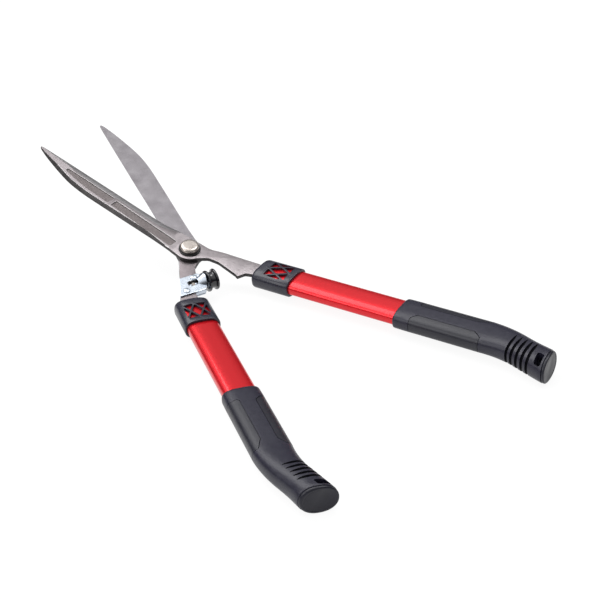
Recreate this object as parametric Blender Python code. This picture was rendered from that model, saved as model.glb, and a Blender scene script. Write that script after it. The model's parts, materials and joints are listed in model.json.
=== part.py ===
"""Two-handed garden hedge shears, lying half open on a floor at z = 0.

Each half has its own pattern frame, in metres, with the pivot bolt on its z axis:
  y runs along the blade towards its tip, x runs across it, z runs up through the bolt.
The blades have one pattern, the lower one turned over, but its tang is wider and its corner cut.
Handles are mirrored.
Handle pieces have a frame of their own: y runs down the handle, x points at the other handle.
"""
import math

import bmesh
import bpy
from mathutils import Matrix, Vector

MM = 0.001

# Whole tool
OPEN_HALF_ANGLE = math.radians(9.0)      # each blade's turn from the middle line
FLOOR_TILT = math.radians(14.25)         # blades rise from the floor, handles lie level
GAP = 0.3 * MM                           # clearance between pieces that touch

# Blade forging
BLADE_LENGTH = 243 * MM                  # pivot to tip
BLADE_THICK = 4.5 * MM
EDGE_THICK = 0.7 * MM
BEVEL_SHARE = 0.33                       # share of the blade's width that is ground to the edge
SPINE_DRAFT = 3.2 * MM
PIVOT_HOLE_RADIUS = 5.3 * MM
RECESS_DEPTH = 1.0 * MM
MATING_GAP = 0.15 * MM                   # each blade's distance from the shear plane
BLADE_TOP = MATING_GAP + BLADE_THICK
TANG_HALF_WIDTH = 7.0 * MM
TANG_SLOT_WIDTH = 22.6 * MM              # filler's slot, wide enough for the tang's neck
TANG_END_ALONG = 45 * MM                 # how far the tang reaches into the handle

# Pivot bolt stack
SHANK_RADIUS = 5.0 * MM
HEAD_RADIUS = 9.9 * MM
HEAD_HEIGHT = 4.2 * MM
HEAD_WASHER_RADIUS = 11.7 * MM
HEAD_WASHER_THICK = 1.1 * MM
SPRING_WASHER_RADIUS = 9.0 * MM
SPRING_WASHER_THICK = 0.9 * MM
NUT_ACROSS_FLATS = 16 * MM
NUT_HEIGHT = 6.0 * MM
BOLT_END = 1.6 * MM                      # thread that shows under the nut

# Handle
HANDLE_START = (-33.1 * MM, -72.6 * MM)  # across and along, at the handle's front
HANDLE_MIDDLE = -1.0 * MM                # height between the two handles' starts
HANDLE_STEP = 0.8 * MM                   # upper handle starts this much above it, lower below
HANDLE_SPLAY = math.radians(9.9)         # handle's turn from the blade's own line
HANDLE_RISE = math.radians(13.5)         # handle's bend out of the blade plane
SQUIRCLE = 3.0                           # roundness of the handle's flat oval section
FACETS = 24                              # sides of that section
TUBE_WIDTH = 32.2 * MM
TUBE_THICK = 14.8 * MM
TUBE_WALL = 1.4 * MM
COLLAR_LENGTH = 45.5 * MM
COLLAR_SIDE_WALL = 2.1 * MM
COLLAR_FLAT_WALL = 2.8 * MM
COLLAR_WIDTH = TUBE_WIDTH + 2 * COLLAR_SIDE_WALL
COLLAR_THICK = TUBE_THICK + 2 * COLLAR_FLAT_WALL
COLLAR_NOSE = 3 * MM                     # length of the slope at the collar's front
FRONT_SLOT = (28.4 * MM, 13.2 * MM)      # opening in the collar's front wall
TUBE_START = 9 * MM
TUBE_END = 232 * MM
PLUG_LENGTH = 40 * MM
GRIP_START = 170.5 * MM
GRIP_STRAIGHT = 114 * MM
GRIP_LENGTH = 170 * MM
GRIP_SIDE_WALL = 2.6 * MM
GRIP_FLAT_WALL = 2.3 * MM
GRIP_WIDTH = TUBE_WIDTH + 2 * GRIP_SIDE_WALL
GRIP_THICK = TUBE_THICK + 2 * GRIP_FLAT_WALL
GRIP_WAIST_WIDTH = 31.8 * MM
GRIP_WAIST = 38 * MM                     # the waist's distance from the grip's end
GRIP_END_WIDTH = 33.0 * MM
GRIP_END_SHIFT = 1.4 * MM                # the flare's lean to the grip's outer side
GRIP_END_THICK = 28.0 * MM
GRIP_BEND = math.radians(18.5)
BEND_SPAN = 40 * MM
END_SLANT = math.radians(22)             # slant of the grip's end, whose inner side is longer
CAP_THICK = 3.0 * MM
INLAY_START = 18 * MM
INLAY_END = 94 * MM
INLAY_EDGE = 7.0 * MM                    # inlay's edge, across from the handle's middle
INLAY_DEPTH = 1.2 * MM
GROOVES = 5
GROOVE_START = GRIP_LENGTH - 44.5 * MM   # on the grip's middle line
GROOVE_PITCH = 6.3 * MM
GROOVE_WIDTH = 3.2 * MM
GROOVE_DEPTH = 2.0 * MM
GROOVE_SLANT = math.radians(13)          # slant of the first groove
GROOVE_FAN = math.radians(1)             # how much more each next groove slants
GROOVE_EDGE = -6.8 * MM                  # where the first groove begins, past the middle line
GROOVE_STEP = 0.8 * MM                   # how much further out each next groove begins
HANG_HOLE_ALONG = GRIP_LENGTH - 9.0 * MM
HANG_HOLE_ACROSS = 6.5 * MM
HANG_HOLE_LENGTH = 8.0 * MM
HANG_HOLE_WIDTH = 12.0 * MM
HANG_HOLE_CORNER = 2.0 * MM

# Collar windows: two crosses of thin bars side by side, above and below
WINDOW_START = 12 * MM
WINDOW_LENGTH = 27 * MM
CROSS_WIDTH = 13 * MM
BAR_WIDTH = 1.7 * MM

# Buffer bracket on the lower half
BUFFER_ALONG = -45.6 * MM                # place along the blade's line
BUFFER_RADIUS = 11.3 * MM
BUFFER_WAIST = 8.7 * MM
BUFFER_FLANGE = 2.6 * MM
BUFFER_NEAR = -2.7 * MM                  # across, the face at the bracket
BUFFER_FAR = 8.3 * MM                    # across, the face that the other tang meets
PLATE_THICK = 1.2 * MM
PLATE_LONG = (-58.8 * MM, -34.2 * MM)
PLATE_RIM = -4.1 * MM
PLATE_OUTER = (-38.2 * MM, -27.8 * MM)   # across, the outer side's near and far corners
FLANGE_ACROSS = (-21 * MM, -9.6 * MM)    # bent-down part of the top plate's near side
FLANGE_DROP = 4.6 * MM
CONE_RADIUS = 9.4 * MM
CONE_START = -17 * MM
STUD_RADIUS = 2.0 * MM
STUD_START = -22 * MM
STUD_END = 3.6 * MM
STUD_NUT_FLATS = 6.6 * MM
STUD_NUT_HEIGHT = 3.4 * MM
STUD_NUT_PLACE = -19.5 * MM
NOTCH_WIDTH = 7.4 * MM
SLOT_WIDTH = 8.4 * MM
SLOT_ACROSS = (-23.5 * MM, -12.5 * MM)
RIVETS = ((-13.9 * MM, -38.2 * MM), (-28.6 * MM, -53.6 * MM))   # across, along
RIVET_RADIUS = 1.8 * MM
RIVET_HEAD_RADIUS = 3.6 * MM
RIVET_HEAD_HEIGHT = 0.9 * MM

# The forging's outline in the pattern frame, millimetres: spine side, tip, edge side, tang
SPINE = ((15, 14.8), (35, 14.8), (60, 16.0), (90, 17.7), (120, 19.3), (148, 20.4), (172, 19.4),
         (194, 15.8), (221, 9.6), (238, 4.6))
EDGE = ((240, -0.3), (214, -1.9), (181, -3.6), (149, -5.2), (117, -6.8), (98, -7.6), (80, -8.5),
        (59, -9.7), (41, -10.9), (22, -12.6))
TANG_OUTER = ((-12, -15.6), (-17, -17.2), (-28, -23.0), (-48, -31.0), (-66, -38.4))
LOWER_TANG_OUTER = ((-4, -14.6), (-10.7, -17.2), (-20.5, -21.6), (-41.7, -30.4), (-58.6, -38.2),
                    (-66, -40.8))
STRIKER = ((-63.6, -7.6), (-60, -8.6), (-34.5, -8.6), (-24, -5.4))
TANG_NECK = ((-73, -22.0), (-66, -17.0))
PANELS = (((189, 10.2), (170, 12.9), (148, 14.2), (115.5, 13.2), (115, 2.8), (188, 6.4)),
          ((110.5, 4.4), (110, 13.4), (60, 13.0), (17, 11.6), (18.8, 1.5)))


def mm(points):
    return [(across * MM, length * MM) for length, across in points]


# ---------------------------------------------------------------- scene and mesh helpers

def clear_scene():
    for thing in list(bpy.data.objects):
        bpy.data.objects.remove(thing, do_unlink=True)


def material(name, colour, metallic, roughness):
    made = bpy.data.materials.new(name)
    made.use_nodes = True
    shader = made.node_tree.nodes["Principled BSDF"]
    shader.inputs["Base Color"].default_value = (*colour, 1.0)
    shader.inputs["Metallic"].default_value = metallic
    shader.inputs["Roughness"].default_value = roughness
    return made


LOOKS = {
    "steel": ((0.46, 0.45, 0.44), 0.9, 0.38),
    "zinc": ((0.70, 0.73, 0.78), 0.9, 0.30),
    "nickel": ((0.66, 0.62, 0.57), 0.95, 0.25),
    "black": ((0.02, 0.02, 0.022), 0.1, 0.35),
    "red": ((0.62, 0.015, 0.02), 0.6, 0.28),
    "plastic": ((0.05, 0.05, 0.056), 0.0, 0.5),
    "inlay": ((0.035, 0.035, 0.04), 0.0, 0.62),
}


def add_empty(name, parent=None):
    empty = bpy.data.objects.new(name, None)
    empty.empty_display_size = 0.02
    bpy.context.collection.objects.link(empty)
    empty.parent = parent
    return empty


def add_mesh(name, mesh_data, parent):
    bmesh.ops.recalc_face_normals(mesh_data, faces=mesh_data.faces)
    mesh = bpy.data.meshes.new(name)
    mesh_data.to_mesh(mesh)
    mesh_data.free()
    node = bpy.data.objects.new(name, mesh)
    bpy.context.collection.objects.link(node)
    node.parent = parent
    return node


def finish(name, mesh_data, look, parent):
    """Turn a bmesh into a named node with its own material."""
    node = add_mesh(name, mesh_data, parent)
    node.data.materials.append(material(name, *LOOKS[look]))
    return node


def bridge(mesh_data, first, second):
    count = len(first)
    for i in range(count):
        j = (i + 1) % count
        mesh_data.faces.new((first[i], first[j], second[j], second[i]))


def loft(rings, closed=False):
    """Skin a row of equal rings; a closed row makes a sleeve with no caps."""
    mesh_data = bmesh.new()
    made = [[mesh_data.verts.new(point) for point in ring] for ring in rings]
    for first, second in zip(made, made[1:]):
        bridge(mesh_data, first, second)
    if closed:
        bridge(mesh_data, made[-1], made[0])
    else:
        mesh_data.faces.new(made[0])
        mesh_data.faces.new(made[-1])
    return mesh_data


def lathe(profile, segments=24, closed=False, turn=0.0):
    """Rings of (radius, height) about z; a closed profile is a ring-shaped piece."""
    rings = []
    for radius, height in profile:
        ring = []
        for i in range(segments):
            angle = turn + 2 * math.pi * i / segments
            ring.append((radius * math.cos(angle), radius * math.sin(angle), height))
        rings.append(ring)
    return loft(rings, closed)


def prism(outline, low, high):
    """Straight extrusion of a flat outline of (x, y) points."""
    return loft([[(x, y, z) for x, y in outline] for z in (low, high)])


def combine(node, other_mesh, operation):
    """Join or cut with another closed mesh and bake the result."""
    other = add_mesh("other", other_mesh, node.parent)
    other.hide_render = True
    other.display_type = "WIRE"
    step = node.modifiers.new("step", "BOOLEAN")
    step.object = other
    step.operation = operation
    step.solver = "EXACT"
    bpy.context.view_layer.update()
    graph = bpy.context.evaluated_depsgraph_get()
    baked = bpy.data.meshes.new_from_object(node.evaluated_get(graph))
    node.modifiers.clear()
    node.data = baked
    bpy.data.objects.remove(other, do_unlink=True)


def carve(node, cutter_mesh):
    combine(node, cutter_mesh, "DIFFERENCE")


def edit(node, change):
    """Run a change on a node's mesh and face it outwards again."""
    mesh_data = bmesh.new()
    mesh_data.from_mesh(node.data)
    change(mesh_data)
    bmesh.ops.recalc_face_normals(mesh_data, faces=mesh_data.faces)
    mesh_data.to_mesh(node.data)
    mesh_data.free()


def circle(radius, segments=20, centre=(0.0, 0.0)):
    step = 2 * math.pi / segments
    return [(centre[0] + radius * math.cos(i * step), centre[1] + radius * math.sin(i * step))
            for i in range(segments)]


def place(mesh_data, matrix):
    bmesh.ops.transform(mesh_data, matrix=matrix, verts=mesh_data.verts)
    return mesh_data


# ---------------------------------------------------------------- blades

def along(points, y):
    """Height of an outline stretch at y, by straight steps between its points."""
    ordered = sorted(points)
    for (y0, x0), (y1, x1) in zip(ordered, ordered[1:]):
        if y0 <= y <= y1:
            return x0 + (x1 - x0) * (y - y0) / (y1 - y0)
    return ordered[0][1] if y < ordered[0][0] else ordered[-1][1]


def blade_ring(y_mm):
    """Blade cross-section: flat mating face, bevel up from the edge, drafted spine."""
    edge = along(EDGE, y_mm) * MM
    spine = along(SPINE, y_mm) * MM
    width = spine - edge
    fade = min(1.0, width / (18 * MM))
    thick = EDGE_THICK + (BLADE_THICK - EDGE_THICK) * fade
    bevel = edge + BEVEL_SHARE * width
    rim = spine - SPINE_DRAFT * fade
    y = y_mm * MM
    return [(edge, y, 0), (edge, y, EDGE_THICK), (bevel, y, thick), (rim, y, thick),
            (spine, y, 0.8 * MM), (spine, y, 0)]


def blade_mesh():
    stations = (28, 41, 60, 80, 98, 120, 148, 172, 194, 210, 224, 238)
    rings = [blade_ring(y) for y in stations]
    tip = BLADE_LENGTH
    rings.append([(x * 0.25 + 0.8 * MM, tip, z * 0.6) for x, y, z in rings[-1]])
    return loft(rings)


def tang_outline(lower):
    """Boss and tang in one outline, from the blade's root round to the handle."""
    outline = mm([(29, 14.8), (29, -12.1), (22, -12.7), (9, -13.4)])
    outline += mm(LOWER_TANG_OUTER if lower else TANG_OUTER)
    into = handle_direction()
    side = Vector((into.y, -into.x))
    start = Vector((HANDLE_START[0], HANDLE_START[1]))
    middle_end = start + into * TANG_END_ALONG
    outline += [tuple(middle_end + side * TANG_HALF_WIDTH), tuple(middle_end - side * TANG_HALF_WIDTH)]
    outline += mm(TANG_NECK)
    outline += mm(STRIKER)
    outline += mm([(-15.5, 1.5), (-14, 6.8), (-8, 13.2), (2, 15.5), (15, 14.8)])
    return outline


def handle_direction():
    """Handle's heading in the blade plane, as (across, along)."""
    return Vector((-math.sin(HANDLE_SPLAY), -math.cos(HANDLE_SPLAY)))


def recess(points):
    return prism(mm(points), BLADE_THICK - RECESS_DEPTH, BLADE_THICK + 2 * MM)


def bend_tang(mesh_data, way):
    """Crank the tang's end out of the blade plane, so that it runs into the raised handle."""
    into = handle_direction()
    start = Vector(HANDLE_START)
    normal = Vector((into.x, into.y, 0))
    geometry = list(mesh_data.verts) + list(mesh_data.edges) + list(mesh_data.faces)
    bmesh.ops.bisect_plane(mesh_data, geom=geometry, plane_co=(start.x, start.y, 0), plane_no=normal)
    for vertex in mesh_data.verts:
        past = (vertex.co.xy - start).dot(into)
        if past > 0:
            vertex.co.z += way * past * math.tan(HANDLE_RISE)


def make_blade(name, parent, lower):
    """One forging: blade, round boss and tang, with its pivot hole and recessed panels."""
    node = finish(name, blade_mesh(), "steel", parent)
    combine(node, prism(tang_outline(lower), 0, BLADE_THICK), "UNION")
    carve(node, prism(circle(PIVOT_HOLE_RADIUS), -5 * MM, 10 * MM))
    for panel in PANELS:
        carve(node, recess(panel))
    if lower:
        for across, length in RIVETS:
            carve(node, prism(circle(RIVET_RADIUS + GAP, 12, (across, length)), -5 * MM, 10 * MM))
        carve(node, stud_box(STUD_START - 0.6 * MM, 6 * MM, NOTCH_WIDTH, -5 * MM, 10 * MM))
        carve(node, flange_room())
    edit(node, lambda mesh_data: bend_tang(mesh_data, -1 if lower else 1))
    axis = (0, 0, 1) if lower else (1, 0, 0)
    place_and_lift = Matrix.Scale(-1, 4, axis) @ Matrix.Translation((0, 0, MATING_GAP))
    edit(node, lambda mesh_data: place(mesh_data, place_and_lift))
    return node


def flange_room():
    """Corner that is cut off the lower tang, where the bracket's flange comes down."""
    side = FLANGE_ACROSS[0] - 2 * GAP
    near, far = PLATE_LONG[0] - 20 * MM, PLATE_LONG[0] + 2 * GAP
    return prism([(side, near), (0, near), (0, far), (side, far)], -5 * MM, 10 * MM)


# ---------------------------------------------------------------- lower half's buffer

def stud_box(first, last, width, low, high):
    """Box round the stud's line, from one place across the tool to another."""
    half = width / 2
    outline = [(first, BUFFER_ALONG - half), (last, BUFFER_ALONG - half),
               (last, BUFFER_ALONG + half), (first, BUFFER_ALONG + half)]
    return prism(outline, low, high)


def stud_frame(across):
    """Frame with z along the buffer's stud, at a place across the tool."""
    middle = -MATING_GAP - BLADE_THICK / 2
    return Matrix.Translation((across, BUFFER_ALONG, middle)) @ Matrix.Rotation(math.pi / 2, 4, "Y")


def make_buffer(parent):
    far = BUFFER_FAR - BUFFER_NEAR
    hole = STUD_RADIUS + GAP
    depth = STUD_END - BUFFER_NEAR + GAP
    profile = [(BUFFER_RADIUS - 0.6 * MM, 0), (BUFFER_RADIUS, 0.6 * MM),
               (BUFFER_RADIUS, BUFFER_FLANGE - 0.4 * MM), (BUFFER_WAIST, BUFFER_FLANGE + 0.5 * MM),
               (BUFFER_WAIST, far - BUFFER_FLANGE - 0.5 * MM),
               (BUFFER_RADIUS, far - BUFFER_FLANGE + 0.4 * MM),
               (BUFFER_RADIUS, far - 0.9 * MM), (BUFFER_RADIUS - 0.9 * MM, far)]
    body = lathe(profile, 28)
    node = finish("buffer_rubber", place(body, stud_frame(BUFFER_NEAR)), "black", parent)
    bore = lathe([(hole, -2 * MM), (hole, depth)], 12)
    carve(node, place(bore, stud_frame(BUFFER_NEAR)))
    stud = lathe([(STUD_RADIUS, 0), (STUD_RADIUS, STUD_END - STUD_START)], 12)
    finish("buffer_stud", place(stud, stud_frame(STUD_START)), "zinc", parent)
    outer = STUD_NUT_FLATS / 2 / math.cos(math.pi / 6)
    nut = lathe([(outer, 0), (outer, STUD_NUT_HEIGHT), (hole, STUD_NUT_HEIGHT), (hole, 0)], 6, True)
    finish("buffer_nut", place(nut, stud_frame(STUD_NUT_PLACE)), "nickel", parent)
    return node


def plate_height(across, length):
    """Outer plate's underside: flat on the tang, then a half cone that opens at the buffer."""
    flat = GAP
    reach = (across - CONE_START) / (PLATE_RIM - CONE_START)
    if reach <= 0:
        return flat
    radius = 2.2 * MM + (CONE_RADIUS - 2.2 * MM) * reach
    offset = length - BUFFER_ALONG
    if abs(offset) >= radius:
        return flat
    return max(flat, math.sqrt(radius ** 2 - offset ** 2) - MATING_GAP - BLADE_THICK / 2)


def plate_mesh(sign):
    """Stamped bracket plate as a grid with an underside and a top."""
    across_steps = 11
    long_steps = 11
    near, far = PLATE_LONG
    layers = []
    for lift in (0.0, PLATE_THICK):
        layer = []
        for j in range(long_steps + 1):
            length = near + (far - near) * j / long_steps
            outer = PLATE_OUTER[0] + (PLATE_OUTER[1] - PLATE_OUTER[0]) * j / long_steps
            rim = PLATE_RIM - 5.0 * MM * ((length - BUFFER_ALONG) / (13 * MM)) ** 2
            row = []
            for i in range(across_steps + 1):
                across = outer + (rim - outer) * i / across_steps
                up = plate_height(across, length) + lift
                if sign < 0:
                    up = -up - BLADE_THICK - 2 * MATING_GAP
                row.append((across, length, up))
            layer.append(row)
        layers.append(layer)
    mesh_data = bmesh.new()
    verts = [[[mesh_data.verts.new(p) for p in row] for row in layer] for layer in layers]
    for layer in verts:
        for first, second in zip(layer, layer[1:]):
            for i in range(across_steps):
                mesh_data.faces.new((first[i], first[i + 1], second[i + 1], second[i]))
    low, high = verts
    edge = [(0, i) for i in range(across_steps)]
    edge += [(j, across_steps) for j in range(long_steps)]
    edge += [(long_steps, i) for i in range(across_steps, 0, -1)]
    edge += [(j, 0) for j in range(long_steps, 0, -1)]
    for (j0, i0), (j1, i1) in zip(edge, edge[1:] + edge[:1]):
        mesh_data.faces.new((low[j0][i0], low[j1][i1], high[j1][i1], high[j0][i0]))
    bmesh.ops.triangulate(mesh_data, faces=mesh_data.faces)
    return mesh_data


def make_plate(name, parent, sign):
    node = finish(name, plate_mesh(sign), "zinc", parent)
    if sign > 0:
        first, last = FLANGE_ACROSS
        near, far = PLATE_LONG[0] - PLATE_THICK, PLATE_LONG[0] + GAP / 2
        wall = [(first, near), (last, near), (last, far), (first, far)]
        combine(node, prism(wall, GAP + PLATE_THICK - FLANGE_DROP, GAP + PLATE_THICK), "UNION")
    low, high = SLOT_ACROSS
    carve(node, stud_box(low, high, SLOT_WIDTH, -15 * MM, 15 * MM))
    for across, length in RIVETS:
        carve(node, prism(circle(RIVET_RADIUS + GAP, 12, (across, length)), -15 * MM, 15 * MM))
    return node


def make_rivet(name, parent, across, length):
    top = GAP + PLATE_THICK + GAP
    low = -BLADE_THICK - 2 * MATING_GAP - top
    profile = [(RIVET_HEAD_RADIUS - 0.7 * MM, low - RIVET_HEAD_HEIGHT), (RIVET_HEAD_RADIUS, low - 0.3 * MM),
               (RIVET_HEAD_RADIUS, low), (RIVET_RADIUS, low), (RIVET_RADIUS, top),
               (RIVET_HEAD_RADIUS, top), (RIVET_HEAD_RADIUS, top + 0.3 * MM),
               (RIVET_HEAD_RADIUS - 0.7 * MM, top + RIVET_HEAD_HEIGHT)]
    shift = Matrix.Translation((across, length, 0))
    return finish(name, place(lathe(profile, 16), shift), "zinc", parent)


# ---------------------------------------------------------------- pivot bolt stack

def make_pivot(parent):
    washer_low = BLADE_TOP + GAP
    washer_top = washer_low + HEAD_WASHER_THICK
    head_low = washer_top + GAP
    head_top = head_low + HEAD_HEIGHT
    spring_top = -BLADE_TOP - GAP
    spring_low = spring_top - SPRING_WASHER_THICK
    nut_top = spring_low - GAP
    nut_low = nut_top - NUT_HEIGHT
    bolt = [(SHANK_RADIUS - 0.6 * MM, nut_low - BOLT_END), (SHANK_RADIUS, nut_low - BOLT_END + 0.6 * MM),
            (SHANK_RADIUS, head_low), (HEAD_RADIUS, head_low), (HEAD_RADIUS, head_low + 1.6 * MM),
            (HEAD_RADIUS - 0.5 * MM, head_low + 2.7 * MM), (HEAD_RADIUS - 1.6 * MM, head_low + 3.6 * MM),
            (HEAD_RADIUS - 3.4 * MM, head_top)]
    finish("pivot_bolt", lathe(bolt, 32), "nickel", parent)
    bore = SHANK_RADIUS + GAP
    finish("head_washer", ring(bore, HEAD_WASHER_RADIUS, washer_low, washer_top, 32), "black", parent)
    finish("spring_washer", ring(bore, SPRING_WASHER_RADIUS, spring_low, spring_top, 28), "zinc", parent)
    outer = NUT_ACROSS_FLATS / 2 / math.cos(math.pi / 6)
    nut = finish("lock_nut", prism(circle(outer, 6), nut_low, nut_top), "zinc", parent)
    carve(nut, prism(circle(bore, 24), nut_low - MM, nut_top + MM))


def ring(bore, outer, low, high, segments):
    return lathe([(bore, low), (outer, low), (outer, high), (bore, high)], segments, True)


# ---------------------------------------------------------------- handles

def section(width, thick, segments=FACETS):
    """Flat oval cross-section as (across, up) points."""
    points = []
    for i in range(segments):
        angle = 2 * math.pi * (i + 0.5) / segments
        c, s = math.cos(angle), math.sin(angle)
        x = math.copysign(abs(c) ** (2 / SQUIRCLE), c) * width / 2
        z = math.copysign(abs(s) ** (2 / SQUIRCLE), s) * thick / 2
        points.append((x, z))
    return points


def straight_ring(width, thick, y):
    return [(x, y, z) for x, z in section(width, thick)]


def grip_line(s):
    """Middle of the grip at s from its start: place and heading, bending towards the other grip."""
    first = GRIP_STRAIGHT - BEND_SPAN / 2
    radius = BEND_SPAN / GRIP_BEND
    turn = min(max((s - first) / radius, 0.0), GRIP_BEND)
    x = radius * (1 - math.cos(turn))
    y = min(s, first) + radius * math.sin(turn)
    rest = max(0.0, s - first - BEND_SPAN)
    x += rest * math.sin(turn)
    y += rest * math.cos(turn)
    return x, GRIP_START + y, turn


def share(s, first, last):
    return min(max((s - first) / (last - first), 0.0), 1.0)


def grip_size(s):
    """Section at s: the grip narrows to a waist in its bend and flares to its end."""
    bend_first = GRIP_STRAIGHT - BEND_SPAN / 2
    waist = GRIP_LENGTH - GRIP_WAIST
    width = GRIP_WIDTH + (GRIP_WAIST_WIDTH - GRIP_WIDTH) * share(s, bend_first, waist)
    width += (GRIP_END_WIDTH - GRIP_WAIST_WIDTH) * share(s, waist, GRIP_LENGTH) ** 2
    thick = GRIP_THICK + (GRIP_END_THICK - GRIP_THICK) * share(s, bend_first, GRIP_LENGTH)
    return width, thick


def flare_shift(s):
    """The flare leans to the grip's outer side, so it moves the section's middle outwards."""
    return -GRIP_END_SHIFT * share(s, GRIP_LENGTH - GRIP_WAIST, GRIP_LENGTH) ** 2


def grip_point(s, across, up):
    x, y, turn = grip_line(s)
    return (x + across * math.cos(turn), y - across * math.sin(turn), up)


def grip_ring(s, inset=0.0, slant=0.0):
    width, thick = grip_size(s)
    shift = flare_shift(s)
    points = section(width - 2 * inset, thick - 2 * inset)
    return [grip_point(s + math.tan(slant) * x, x + shift, z) for x, z in points]


def side_section(side, width, thick, inset, edge, segments=16):
    """The half section past an edge line, from below round the side to above."""
    points = []
    half_w, half_t = width / 2 - inset, thick / 2 - inset
    first = math.acos(math.copysign(abs(edge / half_w) ** (SQUIRCLE / 2), edge))
    for i in range(segments + 1):
        angle = -first + 2 * first * i / segments
        c, s = math.cos(angle), math.sin(angle)
        x = side * math.copysign(abs(c) ** (2 / SQUIRCLE), c) * half_w
        z = math.copysign(abs(s) ** (2 / SQUIRCLE), s) * half_t
        points.append((x, z))
    return points


def inlay_mesh(side, clearance, over):
    """A side panel of the grip: a bent strip with its ends cut back at the corners."""
    stations = ((INLAY_START + clearance, 5.5 * MM), (INLAY_START + 5.5 * MM, 0.0),
                (INLAY_END / 2, 0.0), (INLAY_END - 9 * MM, 0.0), (INLAY_END - clearance, 5.5 * MM))
    rings = []
    for s, shrink in stations:
        width, thick = grip_size(s)
        edge = INLAY_EDGE + clearance + shrink
        outer = side_section(side, width, thick, -over, edge)
        inner = side_section(side, width, thick, INLAY_DEPTH - clearance, edge)
        loop = outer + inner[::-1]
        rings.append([grip_point(s, x, z) for x, z in loop])
    return loft(rings)


def mirrored(mesh_data, sign):
    if sign < 0:
        bmesh.ops.transform(mesh_data, matrix=Matrix.Scale(-1, 4, (1, 0, 0)), verts=mesh_data.verts)
    return mesh_data


def make_collar(name, parent, sign):
    """Moulded sleeve over the tube's end, with a slotted front wall and latticed windows."""
    tube_fit = (TUBE_WIDTH + 2 * GAP, TUBE_THICK + 2 * GAP)
    rings = [straight_ring(COLLAR_WIDTH, COLLAR_THICK, COLLAR_LENGTH),
             straight_ring(COLLAR_WIDTH, COLLAR_THICK, COLLAR_NOSE),
             straight_ring(COLLAR_WIDTH - 4 * MM, COLLAR_THICK - 3 * MM, 0),
             straight_ring(*FRONT_SLOT, 0),
             straight_ring(*FRONT_SLOT, TUBE_START - 4 * MM),
             straight_ring(*tube_fit, TUBE_START - 2 * MM),
             straight_ring(*tube_fit, COLLAR_LENGTH)]
    node = finish(name, mirrored(loft(rings, True), sign), "plastic", parent)
    cutters = bmesh.new()
    top = COLLAR_THICK
    for corners in lattice_gaps():
        lower = [cutters.verts.new((x, y, -top)) for x, y in corners]
        upper = [cutters.verts.new((x, y, top)) for x, y in corners]
        bridge(cutters, lower, upper)
        cutters.faces.new(lower)
        cutters.faces.new(upper)
    carve(node, cutters)
    return node


def lattice_gaps():
    """Triangles that two crosses of bars leave in a window, and the diamond between the crosses."""
    half_w, half_l = CROSS_WIDTH / 2, WINDOW_LENGTH / 2
    centre_y = WINDOW_START + half_l
    slope = math.atan2(half_l, half_w)
    tip_y = BAR_WIDTH / 2 / math.cos(slope)
    tip_x = BAR_WIDTH / 2 / math.sin(slope)
    rim = BAR_WIDTH / 2
    gaps = []
    for middle in (-half_w, half_w):
        for way in (-1, 1):
            end = half_l - rim
            side = (end - tip_y) / math.tan(slope)
            gaps.append([(middle, centre_y + way * tip_y), (middle + side, centre_y + way * end),
                         (middle - side, centre_y + way * end)])
        way = math.copysign(1, middle)
        end = half_w - rim
        side = (end - tip_x) * math.tan(slope)
        gaps.append([(middle + way * tip_x, centre_y), (middle + way * end, centre_y + side),
                     (middle + way * end, centre_y - side)])
    reach = half_w - tip_x
    gaps.append([(-reach, centre_y), (0, centre_y - reach * math.tan(slope)),
                 (reach, centre_y), (0, centre_y + reach * math.tan(slope))])
    return gaps


def make_tube(name, parent):
    inner = (TUBE_WIDTH - 2 * TUBE_WALL, TUBE_THICK - 2 * TUBE_WALL)
    outer = (TUBE_WIDTH, TUBE_THICK)
    rings = [straight_ring(*outer, TUBE_START), straight_ring(*outer, TUBE_END),
             straight_ring(*inner, TUBE_END), straight_ring(*inner, TUBE_START)]
    return finish(name, loft(rings, True), "red", parent)


def make_plug(name, parent, sign):
    """Filler that wedges the tang in the tube's mouth."""
    outer = (TUBE_WIDTH - 2 * TUBE_WALL - 2 * GAP, TUBE_THICK - 2 * TUBE_WALL - 2 * GAP)
    start = TUBE_START + MM
    body = loft([straight_ring(*outer, start), straight_ring(*outer, start + PLUG_LENGTH)])
    node = finish(name, body, "plastic", parent)
    near = sign * MATING_GAP - handle_up(sign)
    far = sign * BLADE_TOP - handle_up(sign)
    half = TANG_SLOT_WIDTH / 2
    outline = [(-half, start - MM), (half, start - MM), (half, TANG_END_ALONG + 3 * MM),
               (-half, TANG_END_ALONG + 3 * MM)]
    carve(node, prism(outline, min(near, far) - GAP, max(near, far) + GAP))


def handle_up(sign):
    return HANDLE_MIDDLE + sign * HANDLE_STEP


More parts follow.
